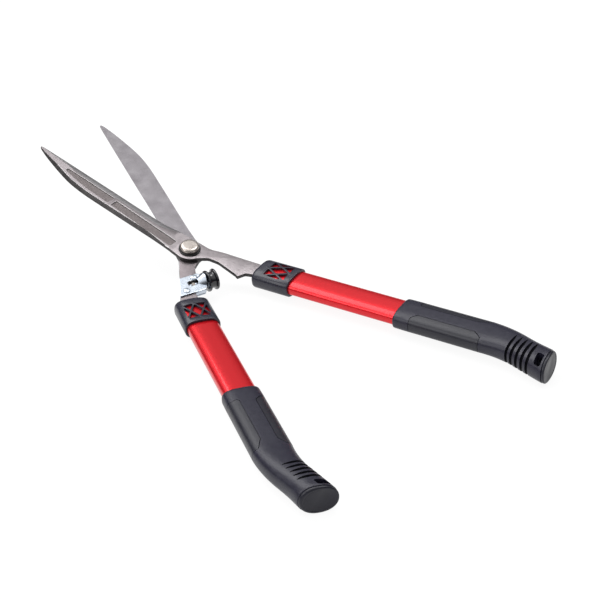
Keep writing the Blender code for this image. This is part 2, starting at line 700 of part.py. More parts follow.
def make_grip(name, parent, sign):
    """Moulded grip with pockets for its side inlays, five grooves and a hanging hole."""
    bend_first = GRIP_STRAIGHT - BEND_SPAN / 2
    stations = [3 * MM, bend_first]
    stations += [bend_first + BEND_SPAN * i / 4 for i in range(1, 5)]
    stations += [GRIP_LENGTH - CAP_THICK - GAP - 12 * MM]
    bore = (TUBE_WIDTH + 2 * GAP, TUBE_THICK + 2 * GAP)
    inside = TUBE_END - GRIP_START + 2 * MM
    body = [grip_ring(0, 1.2 * MM)] + [grip_ring(s) for s in stations]
    body += [grip_ring(GRIP_LENGTH - CAP_THICK - GAP, 0.0, END_SLANT)]
    node = finish(name, mirrored(loft(body), sign), "plastic", parent)
    socket = [straight_ring(*bore, GRIP_START - 2 * MM), straight_ring(*bore, GRIP_START + inside)]
    carve(node, loft(socket))
    for side in (-1, 1):
        carve(node, mirrored(inlay_mesh(side, 0.0, 2 * MM), sign))
    for i in range(GROOVES):
        carve(node, mirrored(groove_mesh(i), sign))
    half_l, half_w = HANG_HOLE_LENGTH / 2, HANG_HOLE_WIDTH / 2
    corner = HANG_HOLE_CORNER
    outline = [(-half_w + corner, -half_l), (half_w - corner, -half_l), (half_w, -half_l + corner),
               (half_w, half_l - corner), (half_w - corner, half_l), (-half_w + corner, half_l),
               (-half_w, half_l - corner), (-half_w, -half_l + corner)]
    slope = math.tan(END_SLANT)
    points = [grip_point(HANG_HOLE_ALONG + y + slope * (HANG_HOLE_ACROSS + x), HANG_HOLE_ACROSS + x, 0)[:2]
              for x, y in outline]
    carve(node, mirrored(prism(points, -20 * MM, 20 * MM), sign))
    return node


def groove_mesh(i):
    """Slanting groove that wraps the grip's inner side, top to bottom."""
    s = GROOVE_START + i * GROOVE_PITCH
    slope = math.tan(GROOVE_SLANT + i * GROOVE_FAN)
    edge = GROOVE_EDGE - i * GROOVE_STEP
    width, thick = grip_size(s)
    rings = []
    for half in (-GROOVE_WIDTH / 2, GROOVE_WIDTH / 2):
        outer = side_section(1, width, thick, -3 * MM, edge, 10)
        inner = side_section(1, width, thick, GROOVE_DEPTH, edge, 10)
        loop = outer + inner[::-1]
        rings.append([grip_point(s + half + slope * x, x + flare_shift(s), z) for x, z in loop])
    return loft(rings)


def make_cap(name, parent, sign):
    start = GRIP_LENGTH - CAP_THICK
    rings = [grip_ring(start, 0.5 * MM, END_SLANT), grip_ring(GRIP_LENGTH - 1.0 * MM, 0.5 * MM, END_SLANT),
             grip_ring(GRIP_LENGTH, 1.5 * MM, END_SLANT)]
    return finish(name, mirrored(loft(rings), sign), "plastic", parent)


def handle_frame(half, sign):
    """Empty at the handle's start: y down the handle, x towards the other handle."""
    frame = add_empty(half.name + "_handle", half)
    across, length = HANDLE_START
    into = handle_direction()
    down = Vector((-sign * into.x, into.y, 0)) * math.cos(HANDLE_RISE)
    down.z = math.sin(HANDLE_RISE)
    side = Vector((-math.cos(HANDLE_SPLAY), -sign * math.sin(HANDLE_SPLAY), 0))
    turned = Matrix((side, down, side.cross(down))).transposed().to_4x4()
    frame.matrix_local = Matrix.Translation((-sign * across, length, handle_up(sign))) @ turned
    return frame


def make_handle(half, label, sign):
    frame = handle_frame(half, sign)
    make_plug("tang_plug_" + label, frame, sign)
    make_tube("tube_" + label, frame)
    make_collar("collar_" + label, frame, sign)
    make_grip("grip_" + label, frame, sign)
    for side, word in ((1, "inner"), (-1, "outer")):
        panel = inlay_mesh(side, GAP, 0.0)
        finish("grip_inlay_" + word + "_" + label, mirrored(panel, sign), "inlay", frame)
    make_cap("grip_cap_" + label, frame, sign)


def set_on_floor(root):
    """Rest the lowest point on z = 0, with the middle of the box over the origin."""
    bpy.context.view_layer.update()
    low = Vector((math.inf,) * 3)
    high = Vector((-math.inf,) * 3)
    for node in bpy.data.objects:
        if node.type != "MESH":
            continue
        for vertex in node.data.vertices:
            point = node.matrix_world @ vertex.co
            low = Vector(map(min, low, point))
            high = Vector(map(max, high, point))
    root.location = (-(low.x + high.x) / 2, -(low.y + high.y) / 2, -low.z)
    bpy.context.view_layer.update()


def build():
    clear_scene()
    root = add_empty("shears")
    root.rotation_euler.x = FLOOR_TILT
    upper = add_empty("upper_half", root)
    upper.rotation_euler.z = OPEN_HALF_ANGLE
    lower = add_empty("lower_half", root)
    lower.rotation_euler.z = -OPEN_HALF_ANGLE
    make_blade("blade_upper", upper, False)
    make_blade("blade_lower", lower, True)
    make_pivot(lower)
    make_plate("bracket_top", lower, 1)
    make_plate("bracket_bottom", lower, -1)
    for i, (across, length) in enumerate(RIVETS):
        make_rivet("bracket_rivet_" + str(i + 1), lower, across, length)
    make_buffer(lower)
    make_handle(upper, "upper", 1)
    make_handle(lower, "lower", -1)
    set_on_floor(root)


build()
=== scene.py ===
# %% [markdown]
# # Garden hedge shears
# This lesson dresses a pair of two-handed hedge shears: two forged blades that cross on a bolt, a
# rubber buffer that stops them, and two lacquered tubes with moulded grips.
# A plain working model of the tool is loaded first. It fixes every place and every movement, and
# each finished piece made below takes the place of one plain solid.

# %% Load the working model
import json
import math

import bmesh
import bpy
from mathutils import Matrix, Vector


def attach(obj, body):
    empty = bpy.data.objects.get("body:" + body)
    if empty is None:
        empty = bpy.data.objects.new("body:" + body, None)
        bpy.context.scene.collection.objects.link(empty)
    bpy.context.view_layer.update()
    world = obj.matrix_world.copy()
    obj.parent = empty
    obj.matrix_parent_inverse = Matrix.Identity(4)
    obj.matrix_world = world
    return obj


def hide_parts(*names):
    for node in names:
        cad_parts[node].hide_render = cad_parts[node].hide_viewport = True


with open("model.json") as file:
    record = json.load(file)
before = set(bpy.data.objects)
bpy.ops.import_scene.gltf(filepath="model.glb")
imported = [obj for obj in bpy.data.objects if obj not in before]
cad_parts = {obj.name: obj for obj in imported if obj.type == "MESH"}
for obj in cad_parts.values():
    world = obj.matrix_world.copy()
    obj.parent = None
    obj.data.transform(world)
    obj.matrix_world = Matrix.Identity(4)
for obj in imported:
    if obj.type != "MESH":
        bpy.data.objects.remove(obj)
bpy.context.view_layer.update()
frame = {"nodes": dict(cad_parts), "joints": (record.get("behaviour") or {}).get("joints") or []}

MM = 0.001

# %% [markdown]
# ## Workbenches
# The tool lies half open and tilted, which is awkward to model in. So each half is made flat on a
# bench of its own: y runs along the blade to its tip, x across it and z up the bolt. A handle has a
# bench too, with y down the handle and x towards the other handle. A bench is one matrix that carries
# the finished piece to its place. The bolt's place and lean come from the working model's hinge.

# %% Benches for the halves and the handles
UPPER, LOWER = 1, -1
BODY = {UPPER: "upper_half", LOWER: "lower_half"}
WORD = {UPPER: "upper", LOWER: "lower"}
OPEN_ANGLE = math.radians(9.0)           # each blade's turn from the middle line
HANDLE_START = (-33.1, -72.6)            # across and along, in millimetres
HANDLE_SPLAY = math.radians(9.9)
HANDLE_RISE = math.radians(13.5)
HANDLE_MIDDLE = -1.0                     # height between the two handles
HANDLE_STEP = 0.8                        # the upper handle starts this much above it

hinge = frame["joints"][0]
pivot_place = Vector(hinge["pos_m"])
pivot_way = Vector(hinge["axis"])
tool_lean = math.atan2(-pivot_way.y, pivot_way.z)


def half_bench(side):
    return (Matrix.Translation(pivot_place) @ Matrix.Rotation(tool_lean, 4, "X")
            @ Matrix.Rotation(side * OPEN_ANGLE, 4, "Z") @ Matrix.Scale(MM, 4))


def forging_bench(side):
    """The upper blade is the forging mirrored left to right, the lower one top to bottom."""
    flip = Matrix.Diagonal((-1, 1, 1, 1)) if side == UPPER else Matrix.Diagonal((1, 1, -1, 1))
    return half_bench(side) @ flip


def handle_bench(side):
    down = Vector((side * math.sin(HANDLE_SPLAY), -math.cos(HANDLE_SPLAY), 0)) * math.cos(HANDLE_RISE)
    down.z = math.sin(HANDLE_RISE)
    across = Vector((-math.cos(HANDLE_SPLAY), -side * math.sin(HANDLE_SPLAY), 0))
    turned = Matrix((across, down, across.cross(down))).transposed().to_4x4()
    place = Vector((-side * HANDLE_START[0], HANDLE_START[1], HANDLE_MIDDLE + side * HANDLE_STEP))
    return half_bench(side) @ Matrix.Translation(place) @ turned @ Matrix.Diagonal((side, 1, 1, 1))


for side in (UPPER, LOWER):
    print(WORD[side], "handle starts at", [round(v, 4) for v in handle_bench(side).translation])

# %% [markdown]
# ## Hand tools
# Four ways of working cover nearly every piece. `draw` starts a flat face with the corners asked for,
# `skin` extrudes that face ring by ring, like pulling clay through a changing frame, `turn` spins a
# profile as a lathe does, and `cut` subtracts one solid from another. All of them work in
# millimetres on the bench. Before an operator runs, only the piece in hand is selected, because an
# operator changes everything that is selected.

# %% Draw, skin, turn and cut
def pick_up(piece):
    bpy.ops.object.select_all(action="DESELECT")
    piece.select_set(True)
    bpy.context.view_layer.objects.active = piece


def draw(name, corners):
    bpy.ops.object.select_all(action="DESELECT")
    bpy.ops.mesh.primitive_circle_add(vertices=len(corners), radius=1.0, fill_type="NGON")
    piece = bpy.context.object
    piece.name = name
    for vertex, corner in zip(piece.data.vertices, corners):
        vertex.co = corner
    return piece


def open_up(piece):
    """Edit mode, with every point selected."""
    pick_up(piece)
    bpy.ops.object.mode_set(mode="EDIT")
    bpy.ops.mesh.select_all(action="SELECT")


def face_outwards(piece):
    open_up(piece)
    bpy.ops.mesh.remove_doubles(threshold=0.0005)
    bpy.ops.mesh.normals_make_consistent(inside=False)
    bpy.ops.object.mode_set(mode="OBJECT")


def skin(name, rings):
    piece = draw(name, rings[0])
    pick_up(piece)
    bpy.ops.object.mode_set(mode="EDIT")
    for ring in rings[1:]:
        bpy.ops.mesh.extrude_region_move()
        mesh = bmesh.from_edit_mesh(piece.data)
        for vertex, corner in zip([v for v in mesh.verts if v.select], ring):
            vertex.co = corner
        bmesh.update_edit_mesh(piece.data)
    bpy.ops.object.mode_set(mode="OBJECT")
    face_outwards(piece)
    return piece


def turn(name, profile, steps=48):
    """Profile of (radius, height), spun round the z axis."""
    piece = draw(name, [(radius, 0, height) for radius, height in profile])
    open_up(piece)
    bpy.ops.mesh.delete(type="ONLY_FACE")
    bpy.ops.mesh.select_all(action="SELECT")
    bpy.ops.mesh.spin(steps=steps, angle=2 * math.pi, axis=(0, 0, 1), center=(0, 0, 0))
    bpy.ops.mesh.select_all(action="SELECT")
    bpy.ops.mesh.remove_doubles(threshold=0.0005)
    bpy.ops.mesh.dissolve_degenerate(threshold=0.0005)
    bpy.ops.mesh.select_all(action="SELECT")
    bpy.ops.mesh.delete_loose()
    bpy.ops.object.mode_set(mode="OBJECT")
    face_outwards(piece)
    return piece


def round_cutter(radius, low, high, steps=48):
    return turn("cutter", [(0, low), (radius, low), (radius, high), (0, high)], steps)


def boolean(piece, tool, operation):
    pick_up(piece)
    step = piece.modifiers.new("step", "BOOLEAN")
    step.operation = operation
    step.solver = "EXACT"
    step.material_mode = "TRANSFER"      # a cut's faces keep the tool's finish
    step.object = tool
    bpy.ops.object.modifier_apply(modifier=step.name)
    bpy.data.objects.remove(tool, do_unlink=True)


def cut(piece, *tools):
    for tool in tools:
        boolean(piece, tool, "DIFFERENCE")


# %% [markdown]
# ## Setting a piece in place
# A finished piece keeps its bench coordinates in an attribute, so that grinding lines and grain can
# follow the steel or the plastic however the piece lies. Then it is carried to its place, its
# transform is applied, and it is told which half of the tool it moves with.

# %% Round an edge, lift a piece, set it in place
def soften(piece, width, angle=50):
    """Rounds every edge sharper than the angle."""
    pick_up(piece)
    rounding = piece.modifiers.new("rounding", "BEVEL")
    rounding.width = width
    rounding.segments = 2
    rounding.limit_method = "ANGLE"
    rounding.angle_limit = math.radians(angle)
    rounding.use_clamp_overlap = True
    rounding.miter_outer = "MITER_ARC"
    bpy.ops.object.modifier_apply(modifier=rounding.name)


def carry(piece, matrix):
    """Moves the mesh on the bench."""
    pick_up(piece)
    piece.matrix_world = matrix
    bpy.ops.object.transform_apply(location=True, rotation=True, scale=True)
    face_outwards(piece)


def set_in_place(piece, bench, body, node, finishes, smooth=35):
    keep = piece.data.attributes.new("bench", "FLOAT_VECTOR", "POINT")
    for spot, vertex in zip(keep.data, piece.data.vertices):
        spot.vector = vertex.co
    pick_up(piece)
    piece.matrix_world = bench
    bpy.ops.object.transform_apply(location=True, rotation=True, scale=True)
    open_up(piece)
    bpy.ops.mesh.normals_make_consistent(inside=False)
    bpy.ops.object.mode_set(mode="OBJECT")
    bpy.ops.object.shade_smooth_by_angle(angle=math.radians(smooth))
    zones = [face.material_index for face in piece.data.polygons]
    piece.data.materials.clear()
    for made in finishes:
        piece.data.materials.append(made)
    for face, zone in zip(piece.data.polygons, zones):
        face.material_index = min(zone, len(finishes) - 1)
    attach(piece, body)
    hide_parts(node)
    print(piece.name, "has", len(piece.data.polygons), "faces and stands for", node)


def copy_of(piece, name):
    twin = piece.copy()
    twin.data = piece.data.copy()
    twin.name = name
    bpy.context.collection.objects.link(twin)
    return twin


def set_pair(piece, kind, finishes, smooth=40):
    """The piece goes on the upper handle, and its copy on the lower one."""
    for side, each in ((UPPER, piece), (LOWER, copy_of(piece, kind.capitalize() + "_lower"))):
        set_in_place(each, handle_bench(side), BODY[side], kind + "_" + WORD[side], finishes, smooth)


# %% [markdown]
# ## Finishes
# Every finish is built from nodes, never from a picture. Two effects return in most of them, so each
# is a group of its own: long thin grinding lines, and the soft grain of cast, forged or moulded
# surfaces. A group gives a height for the bump and a shade that shifts colour and roughness. Its
# speckle value says how much of that shade is fine, and how much broad. The shader itself stays in
# the material, where every finish sets its own gloss.

# %% Two shared effects
def feed(tree, node, inputs):
    """Each input gets a fixed value, or a link from another node's socket."""
    for label, value in inputs.items():
        if isinstance(value, bpy.types.NodeSocket):
            tree.links.new(value, node.inputs[label])
        else:
            node.inputs[label].default_value = value


def noise_in(tree, vector, scale, detail, roughness):
    noise = tree.nodes.new("ShaderNodeTexNoise")
    feed(tree, noise, {"Vector": vector, "Scale": scale, "Detail": detail, "Roughness": roughness})
    return noise.outputs["Fac"]


def calculate(tree, operation, first, second):
    node = tree.nodes.new("ShaderNodeMath")
    node.operation = operation
    feed(tree, node, {0: first, 1: second})
    return node.outputs[0]


def make_effect(name, stretch, fine_detail, fine_roughness, broad_share, broad_detail):
    """A fine noise over a broad one. The Speckle value is the share of the fine one in the shade."""
    group = bpy.data.node_groups.new(name, "ShaderNodeTree")
    for label, kind in (("Place", "Vector"), ("Fineness", "Float"), ("Speckle", "Float")):
        group.interface.new_socket(name=label, in_out="INPUT", socket_type="NodeSocket" + kind)
    for label in ("Height", "Shade"):
        group.interface.new_socket(name=label, in_out="OUTPUT", socket_type="NodeSocketFloat")
    given, result = group.nodes.new("NodeGroupInput"), group.nodes.new("NodeGroupOutput")
    drawn = group.nodes.new("ShaderNodeVectorMath")
    drawn.operation = "MULTIPLY"
    feed(group, drawn, {0: given.outputs["Place"], 1: stretch})
    fine = noise_in(group, drawn.outputs[0], given.outputs["Fineness"], fine_detail, fine_roughness)
    broad = calculate(group, "MULTIPLY", given.outputs["Fineness"], broad_share)
    coarse = noise_in(group, drawn.outputs[0], broad, broad_detail, 0.5)
    mix = group.nodes.new("ShaderNodeMix")
    feed(group, mix, {"Factor": given.outputs["Speckle"], "A": coarse, "B": fine})
    feed(group, result, {"Height": fine, "Shade": mix.outputs["Result"]})
    return group


# Grinding lines are squeezed along the blade and drawn out across it. Grain is alike every way.
LINES = make_effect("Grinding lines", (0.03, 1.0, 0.3), 4.0, 0.65, 0.12, 2.0)
GRAIN = make_effect("Grain", (1.0, 1.0, 1.0), 3.0, 0.6, 0.07, 3.0)
print("shared effects:", LINES.name, "and", GRAIN.name)


# %% A finish from colours, gloss and one effect
def finish(name, effect_group, fineness, speckle, colours, roughness, bump, metallic=0.0, coat=0.0,
           specular=0.5):
    """Colours and roughness each run from a low to a high value, as the effect's shade does."""
    made = bpy.data.materials.new(name)
    made.use_nodes = True
    tree = made.node_tree
    place = tree.nodes.new("ShaderNodeAttribute")
    place.attribute_name = "bench"
    pattern = tree.nodes.new("ShaderNodeGroup")
    pattern.node_tree = effect_group
    feed(tree, pattern, {"Place": place.outputs["Vector"], "Fineness": fineness, "Speckle": speckle})
    mask = tree.nodes.new("ShaderNodeMapRange")
    feed(tree, mask, {"Value": pattern.outputs["Shade"], "From Min": 0.35, "From Max": 0.65})
    shade = mask.outputs["Result"]
    colour = tree.nodes.new("ShaderNodeMix")
    colour.data_type = "RGBA"
    feed(tree, colour, {"Factor": shade, 6: (*colours[0], 1), 7: (*colours[1], 1)})
    gloss = tree.nodes.new("ShaderNodeMapRange")
    feed(tree, gloss, {"Value": shade, "To Min": roughness[0], "To Max": roughness[1]})
    relief = tree.nodes.new("ShaderNodeBump")
    feed(tree, relief, {"Height": pattern.outputs["Height"], "Distance": bump * MM, "Strength": 1.0})
    feed(tree, tree.nodes["Principled BSDF"], {
        "Base Color": colour.outputs[2], "Roughness": gloss.outputs["Result"],
        "Normal": relief.outputs["Normal"], "Metallic": metallic, "Coat Weight": coat,
        "Coat Roughness": 0.08, "Specular IOR Level": specular})
    return made


# %% [markdown]
# Steel first. A forging shows seven surfaces: the satin skin, the ground bevel with its fine lines,
# the lapped flat back, the tang's rougher back darkened with painted shadow, painted shade on the
# steep sides, the rough floor of the sunk panels with painted shade on walls, and painted highlights on the
# rims.

# %% Steel, zinc and nickel
SATIN = finish("Satin_forged_steel", GRAIN, 2.4, 0.8, ((0.20, 0.178, 0.186), (0.38, 0.35, 0.36)),
               (0.36, 0.46), 0.04, metallic=1.0)
BEVEL = finish("Ground_bevel", LINES, 5.0, 0.6, ((0.40, 0.39, 0.40), (0.52, 0.51, 0.52)),
               (0.34, 0.42), 0.006, metallic=1.0)
FLAT = finish("Lapped_flat_back", GRAIN, 0.9, 0.5, ((0.22, 0.205, 0.22), (0.32, 0.305, 0.32)),
              (0.30, 0.38), 0.004, metallic=1.0)
# A rougher tang back whose darker colour is painted shadow of the other tang.
TANG_BACK_SHADOW = finish("Tang_back_with_painted_shadow", GRAIN, 2.0, 0.7, ((0.15, 0.13, 0.135), (0.27, 0.24, 0.25)),
              (0.40, 0.50), 0.05, metallic=1.0)
# Painted shade: a near-black steel for the steep sides of blade, boss and tang.
SIDE_SHADE = finish("Painted_side_shade", GRAIN, 2.0, 0.5, ((0.035, 0.033, 0.034), (0.09, 0.085, 0.085)),
               (0.42, 0.60), 0.08, metallic=0.9)
# The rough, dark floor of the sunk panels; on steep walls facing the edge it is painted shade.
SUNK_PANEL_AND_WALL_SHADE = finish("Sunk_panel_steel_with_painted_wall_shade", GRAIN, 2.2, 0.8, ((0.10, 0.088, 0.088), (0.22, 0.195, 0.195)),
              (0.50, 0.65), 0.16, metallic=0.9)
# Painted highlight: a brighter steel for the rounded rims, where light catches the edges.
RIM_HIGHLIGHT = finish("Painted_rim_highlight", GRAIN, 1.5, 0.5, ((0.44, 0.42, 0.43), (0.58, 0.56, 0.56)),
              (0.36, 0.46), 0.01, metallic=1.0)
NICKEL = finish("Satin_nickel", GRAIN, 1.2, 0.3, ((0.42, 0.38, 0.35), (0.52, 0.475, 0.44)),
                (0.24, 0.34), 0.01, metallic=1.0)
ZINC = finish("Bright_zinc", GRAIN, 2.0, 0.6, ((0.48, 0.53, 0.60), (0.58, 0.63, 0.70)), (0.22, 0.34),
              0.01, metallic=1.0)

# %% [markdown]
# Then the coloured and black finishes. The tubes wear a red metallic lacquer: a metal base under a
# clear coat. The collars and grips are charcoal plastic with a fine spark-eroded texture, the inlays
# a smoother and darker rubber.

# %% Lacquer, plastic and rubber
LACQUER = finish("Red_metallic_lacquer", GRAIN, 6.0, 1.0, ((0.62, 0.005, 0.012), (0.72, 0.009, 0.018)),
                 (0.26, 0.32), 0.004, metallic=0.55, coat=0.35, specular=0.25)
COLLAR_BLACK = finish("Glossy_charcoal", GRAIN, 3.2, 0.5, ((0.016, 0.016, 0.027), (0.028, 0.028, 0.043)),
                      (0.24, 0.32), 0.03, specular=0.45)
CHARCOAL = finish("Moulded_charcoal", GRAIN, 3.2, 0.6, ((0.010, 0.0095, 0.021), (0.019, 0.018, 0.034)),
                  (0.30, 0.40), 0.06, specular=0.4)
INLAY = finish("Soft_inlay", GRAIN, 4.0, 0.6, ((0.010, 0.010, 0.017), (0.019, 0.019, 0.029)),
               (0.30, 0.40), 0.04, specular=0.4)
CAP_FACE = finish("Smooth_cap", GRAIN, 1.5, 0.4, ((0.008, 0.008, 0.016), (0.014, 0.014, 0.024)),
                  (0.30, 0.42), 0.03, specular=0.35)
# Painted shade: a near-black finish for the faces of the finger grooves.
GROOVE_SHADE = finish("Painted_groove_shade", GRAIN, 2.0, 0.5, ((0.003, 0.003, 0.006), (0.006, 0.006, 0.010)),
                      (0.55, 0.65), 0.03, specular=0.15)
RUBBER = finish("Glossy_rubber", GRAIN, 1.0, 0.3, ((0.004, 0.004, 0.007), (0.008, 0.008, 0.012)),
                (0.08, 0.14), 0.003, coat=0.4)
WASHER_BLACK = finish("Black_oxide", GRAIN, 1.8, 0.5, ((0.012, 0.012, 0.013), (0.03, 0.03, 0.031)),
                      (0.35, 0.5), 0.03, metallic=0.3)
print(len(bpy.data.materials), "materials")

# %% [markdown]
# ## The blade forgings
# Both blades have the same pattern, used once as it is and once turned over. Its outline is read
# from tables of places along the blade and across it, in millimetres, with a smooth curve through
# them. The blade itself is skinned from about sixty cross-sections. Each has a flat ground back, a
# cutting edge under a long bevel, a flat land and a sloping spine side.

# %% Outline tables and their smooth reading
BLADE_THICK = 4.5
EDGE_THICK = 0.7
MATING_GAP = 0.15
SPINE_LINE = ((0, 15.3), (15, 14.9), (35, 15.2), (60, 16.4), (90, 18.1), (120, 19.7), (148, 20.8),
              (172, 19.7), (194, 15.9), (221, 9.6), (238, 4.6), (241.5, 3.0), (243, 1.9))
EDGE_LINE = ((0, -14.4), (15, -13.0), (22, -12.6), (41, -10.9), (59, -9.7), (80, -8.5), (98, -7.6),
             (117, -6.8), (149, -5.2), (181, -3.6), (214, -1.9), (240, -0.3), (242.2, 0.2), (243, 0.8))


def reading(table, along):
    """Smooth curve through a table of (along, across), read at one place."""
    last = len(table) - 1
    along = min(max(along, table[0][0]), table[last][0])
    i = max(k for k in range(last) if table[k][0] <= along)

    def slope(k):
        low, high = table[max(k - 1, 0)], table[min(k + 1, last)]
        return (high[1] - low[1]) / (high[0] - low[0])

    (start, first), (end, second) = table[i], table[i + 1]
    span = end - start
    t = (along - start) / span
    return ((2 * t ** 3 - 3 * t ** 2 + 1) * first + (t ** 3 - 2 * t ** 2 + t) * span * slope(i)
            + (3 * t ** 2 - 2 * t ** 3) * second + (t ** 3 - t ** 2) * span * slope(i + 1))


def ease(value, start, end):
    """0 before start, 1 after end, and a soft step between."""
    t = min(max((value - start) / (end - start), 0.0), 1.0)
    return t * t * (3 - 2 * t)


# %% Skin the blade
BEVEL_SHARE = 0.33                       # part of the width that the bevel takes
SPINE_SLOPE = 3.2                        # how far the spine side leans in
BLADE_ROOT = 17                          # along, where the blade leaves the boss
BEVEL_FULL, SPINE_FULL = 55, 60          # along, where bevel and spine slope reach their full size
THIN_BELOW = 18                          # width under which the blade also thins
ROOT_STEP = 0.45                         # the bevel's size at the root
RIM_CHAMFER = 0.32


def blade_section(along):
    edge, spine = reading(EDGE_LINE, along), reading(SPINE_LINE, along)
    width = spine - edge
    thin = min(1.0, width / THIN_BELOW)
    thick = EDGE_THICK + (BLADE_THICK - EDGE_THICK) * thin
    ground = ease(along, BLADE_ROOT, BEVEL_FULL)
    sloped = ease(along, BLADE_ROOT, SPINE_FULL)
    lip = EDGE_THICK + (thick - ROOT_STEP - EDGE_THICK) * (1 - ground)
    bevel = edge + ROOT_STEP + (BEVEL_SHARE * width - ROOT_STEP) * ground
    rim = spine - (0.5 + (SPINE_SLOPE - 0.5) * sloped) * thin
    chamfer = RIM_CHAMFER * thin
    foot = 0.8 + (thick - 0.5 - 0.8) * (1 - sloped)
    return [(edge, along, 0), (edge, along, lip), (bevel, along, thick), (rim - chamfer, along, thick),
            (rim + 0.2 * chamfer, along, thick - 0.7 * chamfer), (spine, along, foot),
            (spine, along, 0.25 * thin), (spine - 0.25 * thin, along, 0)]


stations = [14 + 4 * i for i in range(56)] + [236.5, 238.5, 240.3, 241.6, 242.5, 243]
blade = skin("Blade", [blade_section(along) for along in stations])
print("blade skinned from", len(stations), "sections")

# %% [markdown]
# The boss and the tang are a flat plate with rounded edges, so they are drawn as an outline,
# extruded to the forging's thickness and rounded along both rims. Sharp corners of the outline are
# first replaced by small arcs, as a forging die has no sharp corners. The lower blade's tang is
# wider on its outer side, because it carries the buffer's bracket.

# %% Boss and tang
TANG_END = 45                            # how far the tang reaches into the handle
TANG_HALF_WIDTH = 7
BOSS_RADIUS = 15.5


def arc_corners(corners, steps=4):
    """Replaces each (x, y, radius) corner of an outline with an arc."""
    smooth = []
    for i, (x, y, radius) in enumerate(corners):
        here = Vector((x, y))
        before = Vector(corners[i - 1][:2]) - here
        after = Vector(corners[(i + 1) % len(corners)][:2]) - here
        half = before.angle(after) / 2
        reach = min(radius / math.tan(half), before.length * 0.45, after.length * 0.45) if radius else 0
        if reach < 0.01:
            smooth.append((x, y))
            continue
        start, end = here + before.normalized() * reach, here + after.normalized() * reach
        for k in range(steps + 1):
            t = k / steps
            smooth.append(tuple(start * (1 - t) ** 2 + here * 2 * t * (1 - t) + end * t ** 2))
    return smooth


def boss_arc(first, last, count):
    """Corners on the boss's circle, from one bearing to another."""
    turns = [math.radians(first + (last - first) * i / (count - 1)) for i in range(count)]
    return [(BOSS_RADIUS * math.cos(a), BOSS_RADIUS * math.sin(a), 0) for a in turns]


tang_way = Vector((-math.sin(HANDLE_SPLAY), -math.cos(HANDLE_SPLAY)))
tang_side = Vector((tang_way.y, -tang_way.x))
tang_end = Vector(HANDLE_START) + tang_way * TANG_END
OUTER_SIDE = {
    UPPER: [(-14.8, -2, 0), (-15.7, -12, 3), (-17.2, -17, 8), (-23.0, -28, 30), (-31.0, -48, 40),
            (-38.4, -66, 12)],
    LOWER: [(-14.6, -4, 4), (-17.2, -10.7, 10), (-21.6, -20.5, 30), (-30.4, -41.7, 40),
            (-38.2, -58.6, 20), (-40.8, -66, 10)]}


def tang_corners(side):
    """Corners of boss and tang as (across, along, radius), anticlockwise from the blade's root."""
    corners = [(-12.85, BLADE_ROOT, 0), (-13.5, 9, 0)] + OUTER_SIDE[side]
    corners += [(*(tang_end + way * tang_side * TANG_HALF_WIDTH), 1) for way in (1, -1)]
    corners += [(-22.0, -73, 6), (-17.0, -66.2, 5), (-7.6, -63.8, 0.8), (-8.6, -59.5, 1.5),
                (-8.6, -34.5, 14), (-5.2, -23.5, 8)]
    return corners + boss_arc(-72, -4, 11) + [(15.4, 2, 0), (15.3, 9, 0), (14.9, BLADE_ROOT, 0)]


def tang_plate(side):
    plate = draw("tang", [(x, y, 0) for x, y in arc_corners(tang_corners(side))])
    pick_up(plate)
    bpy.ops.object.mode_set(mode="EDIT")
    bpy.ops.mesh.extrude_region_move(TRANSFORM_OT_translate={"value": (0, 0, BLADE_THICK)})
    bpy.ops.object.mode_set(mode="OBJECT")
    face_outwards(plate)
    bpy.ops.object.mode_set(mode="EDIT")
    bpy.ops.mesh.select_mode(type="EDGE")
    bpy.ops.mesh.select_all(action="DESELECT")
    mesh = bmesh.from_edit_mesh(plate.data)
    for line in mesh.edges:
        line.select = abs(line.verts[0].co.z - line.verts[1].co.z) < 0.01
    bmesh.update_edit_mesh(plate.data)
    bpy.ops.mesh.bevel(offset=0.4, segments=3, clamp_overlap=True)
    bpy.ops.mesh.select_mode(type="VERT")
    bpy.ops.object.mode_set(mode="OBJECT")
    return plate


forgings = {UPPER: blade, LOWER: copy_of(blade, "Forged_blade_lower")}
forgings[UPPER].name = "Forged_blade_upper"
for side, forging in forgings.items():
    boolean(forging, tang_plate(side), "UNION")
    print(forging.name, "has", len(forging.data.polygons), "faces with its boss and tang")

# %% [markdown]
# Two sunk panels lighten the outer face. Each is cut with a tool shaped like the die's punch: its
# sides slope, its rim is chamfered, and its corners are round, so the panel gets a bright lip.

# %% Pivot hole and sunk panels
PIVOT_BORE = 5.3                         # radius
PANEL_DEPTH = 1.0
PANELS_END = 190                         # along, just past the front panel's tip
PANEL_LAYERS = ((0.32, BLADE_THICK - PANEL_DEPTH), (0.08, BLADE_THICK - 0.28),
                (-0.25, BLADE_THICK + 0.03), (-0.25, BLADE_THICK + 2))
PANELS = (((10.4, 189, 1.2), (13.1, 170, 30), (14.5, 148, 40), (13.5, 115.5, 1.0), (2.9, 115, 1.0),
           (6.4, 188, 1.6)),
          ((4.3, 110.5, 1.0), (13.5, 110, 1.0), (13.2, 60, 60), (11.8, 17.6, 2.2), (1.4, 18.8, 2.2)))


def inset_outline(points, inset):
    """The outline moved inwards by a distance, corner by corner."""
    area = sum(a[0] * b[1] - b[0] * a[1] for a, b in zip(points, points[1:] + points[:1]))
    way = 1 if area > 0 else -1
    moved = []
    for i, point in enumerate(points):
        here = Vector(point)
        before = (here - Vector(points[i - 1])).normalized()
        after = (Vector(points[(i + 1) % len(points)]) - here).normalized()
        corner = Vector((-before.y, before.x)) + Vector((-after.y, after.x))
        corner.normalize()
        square = max(corner.dot(Vector((-before.y, before.x))), 0.5)
        moved.append(tuple(here + corner * way * inset / square))
    return moved


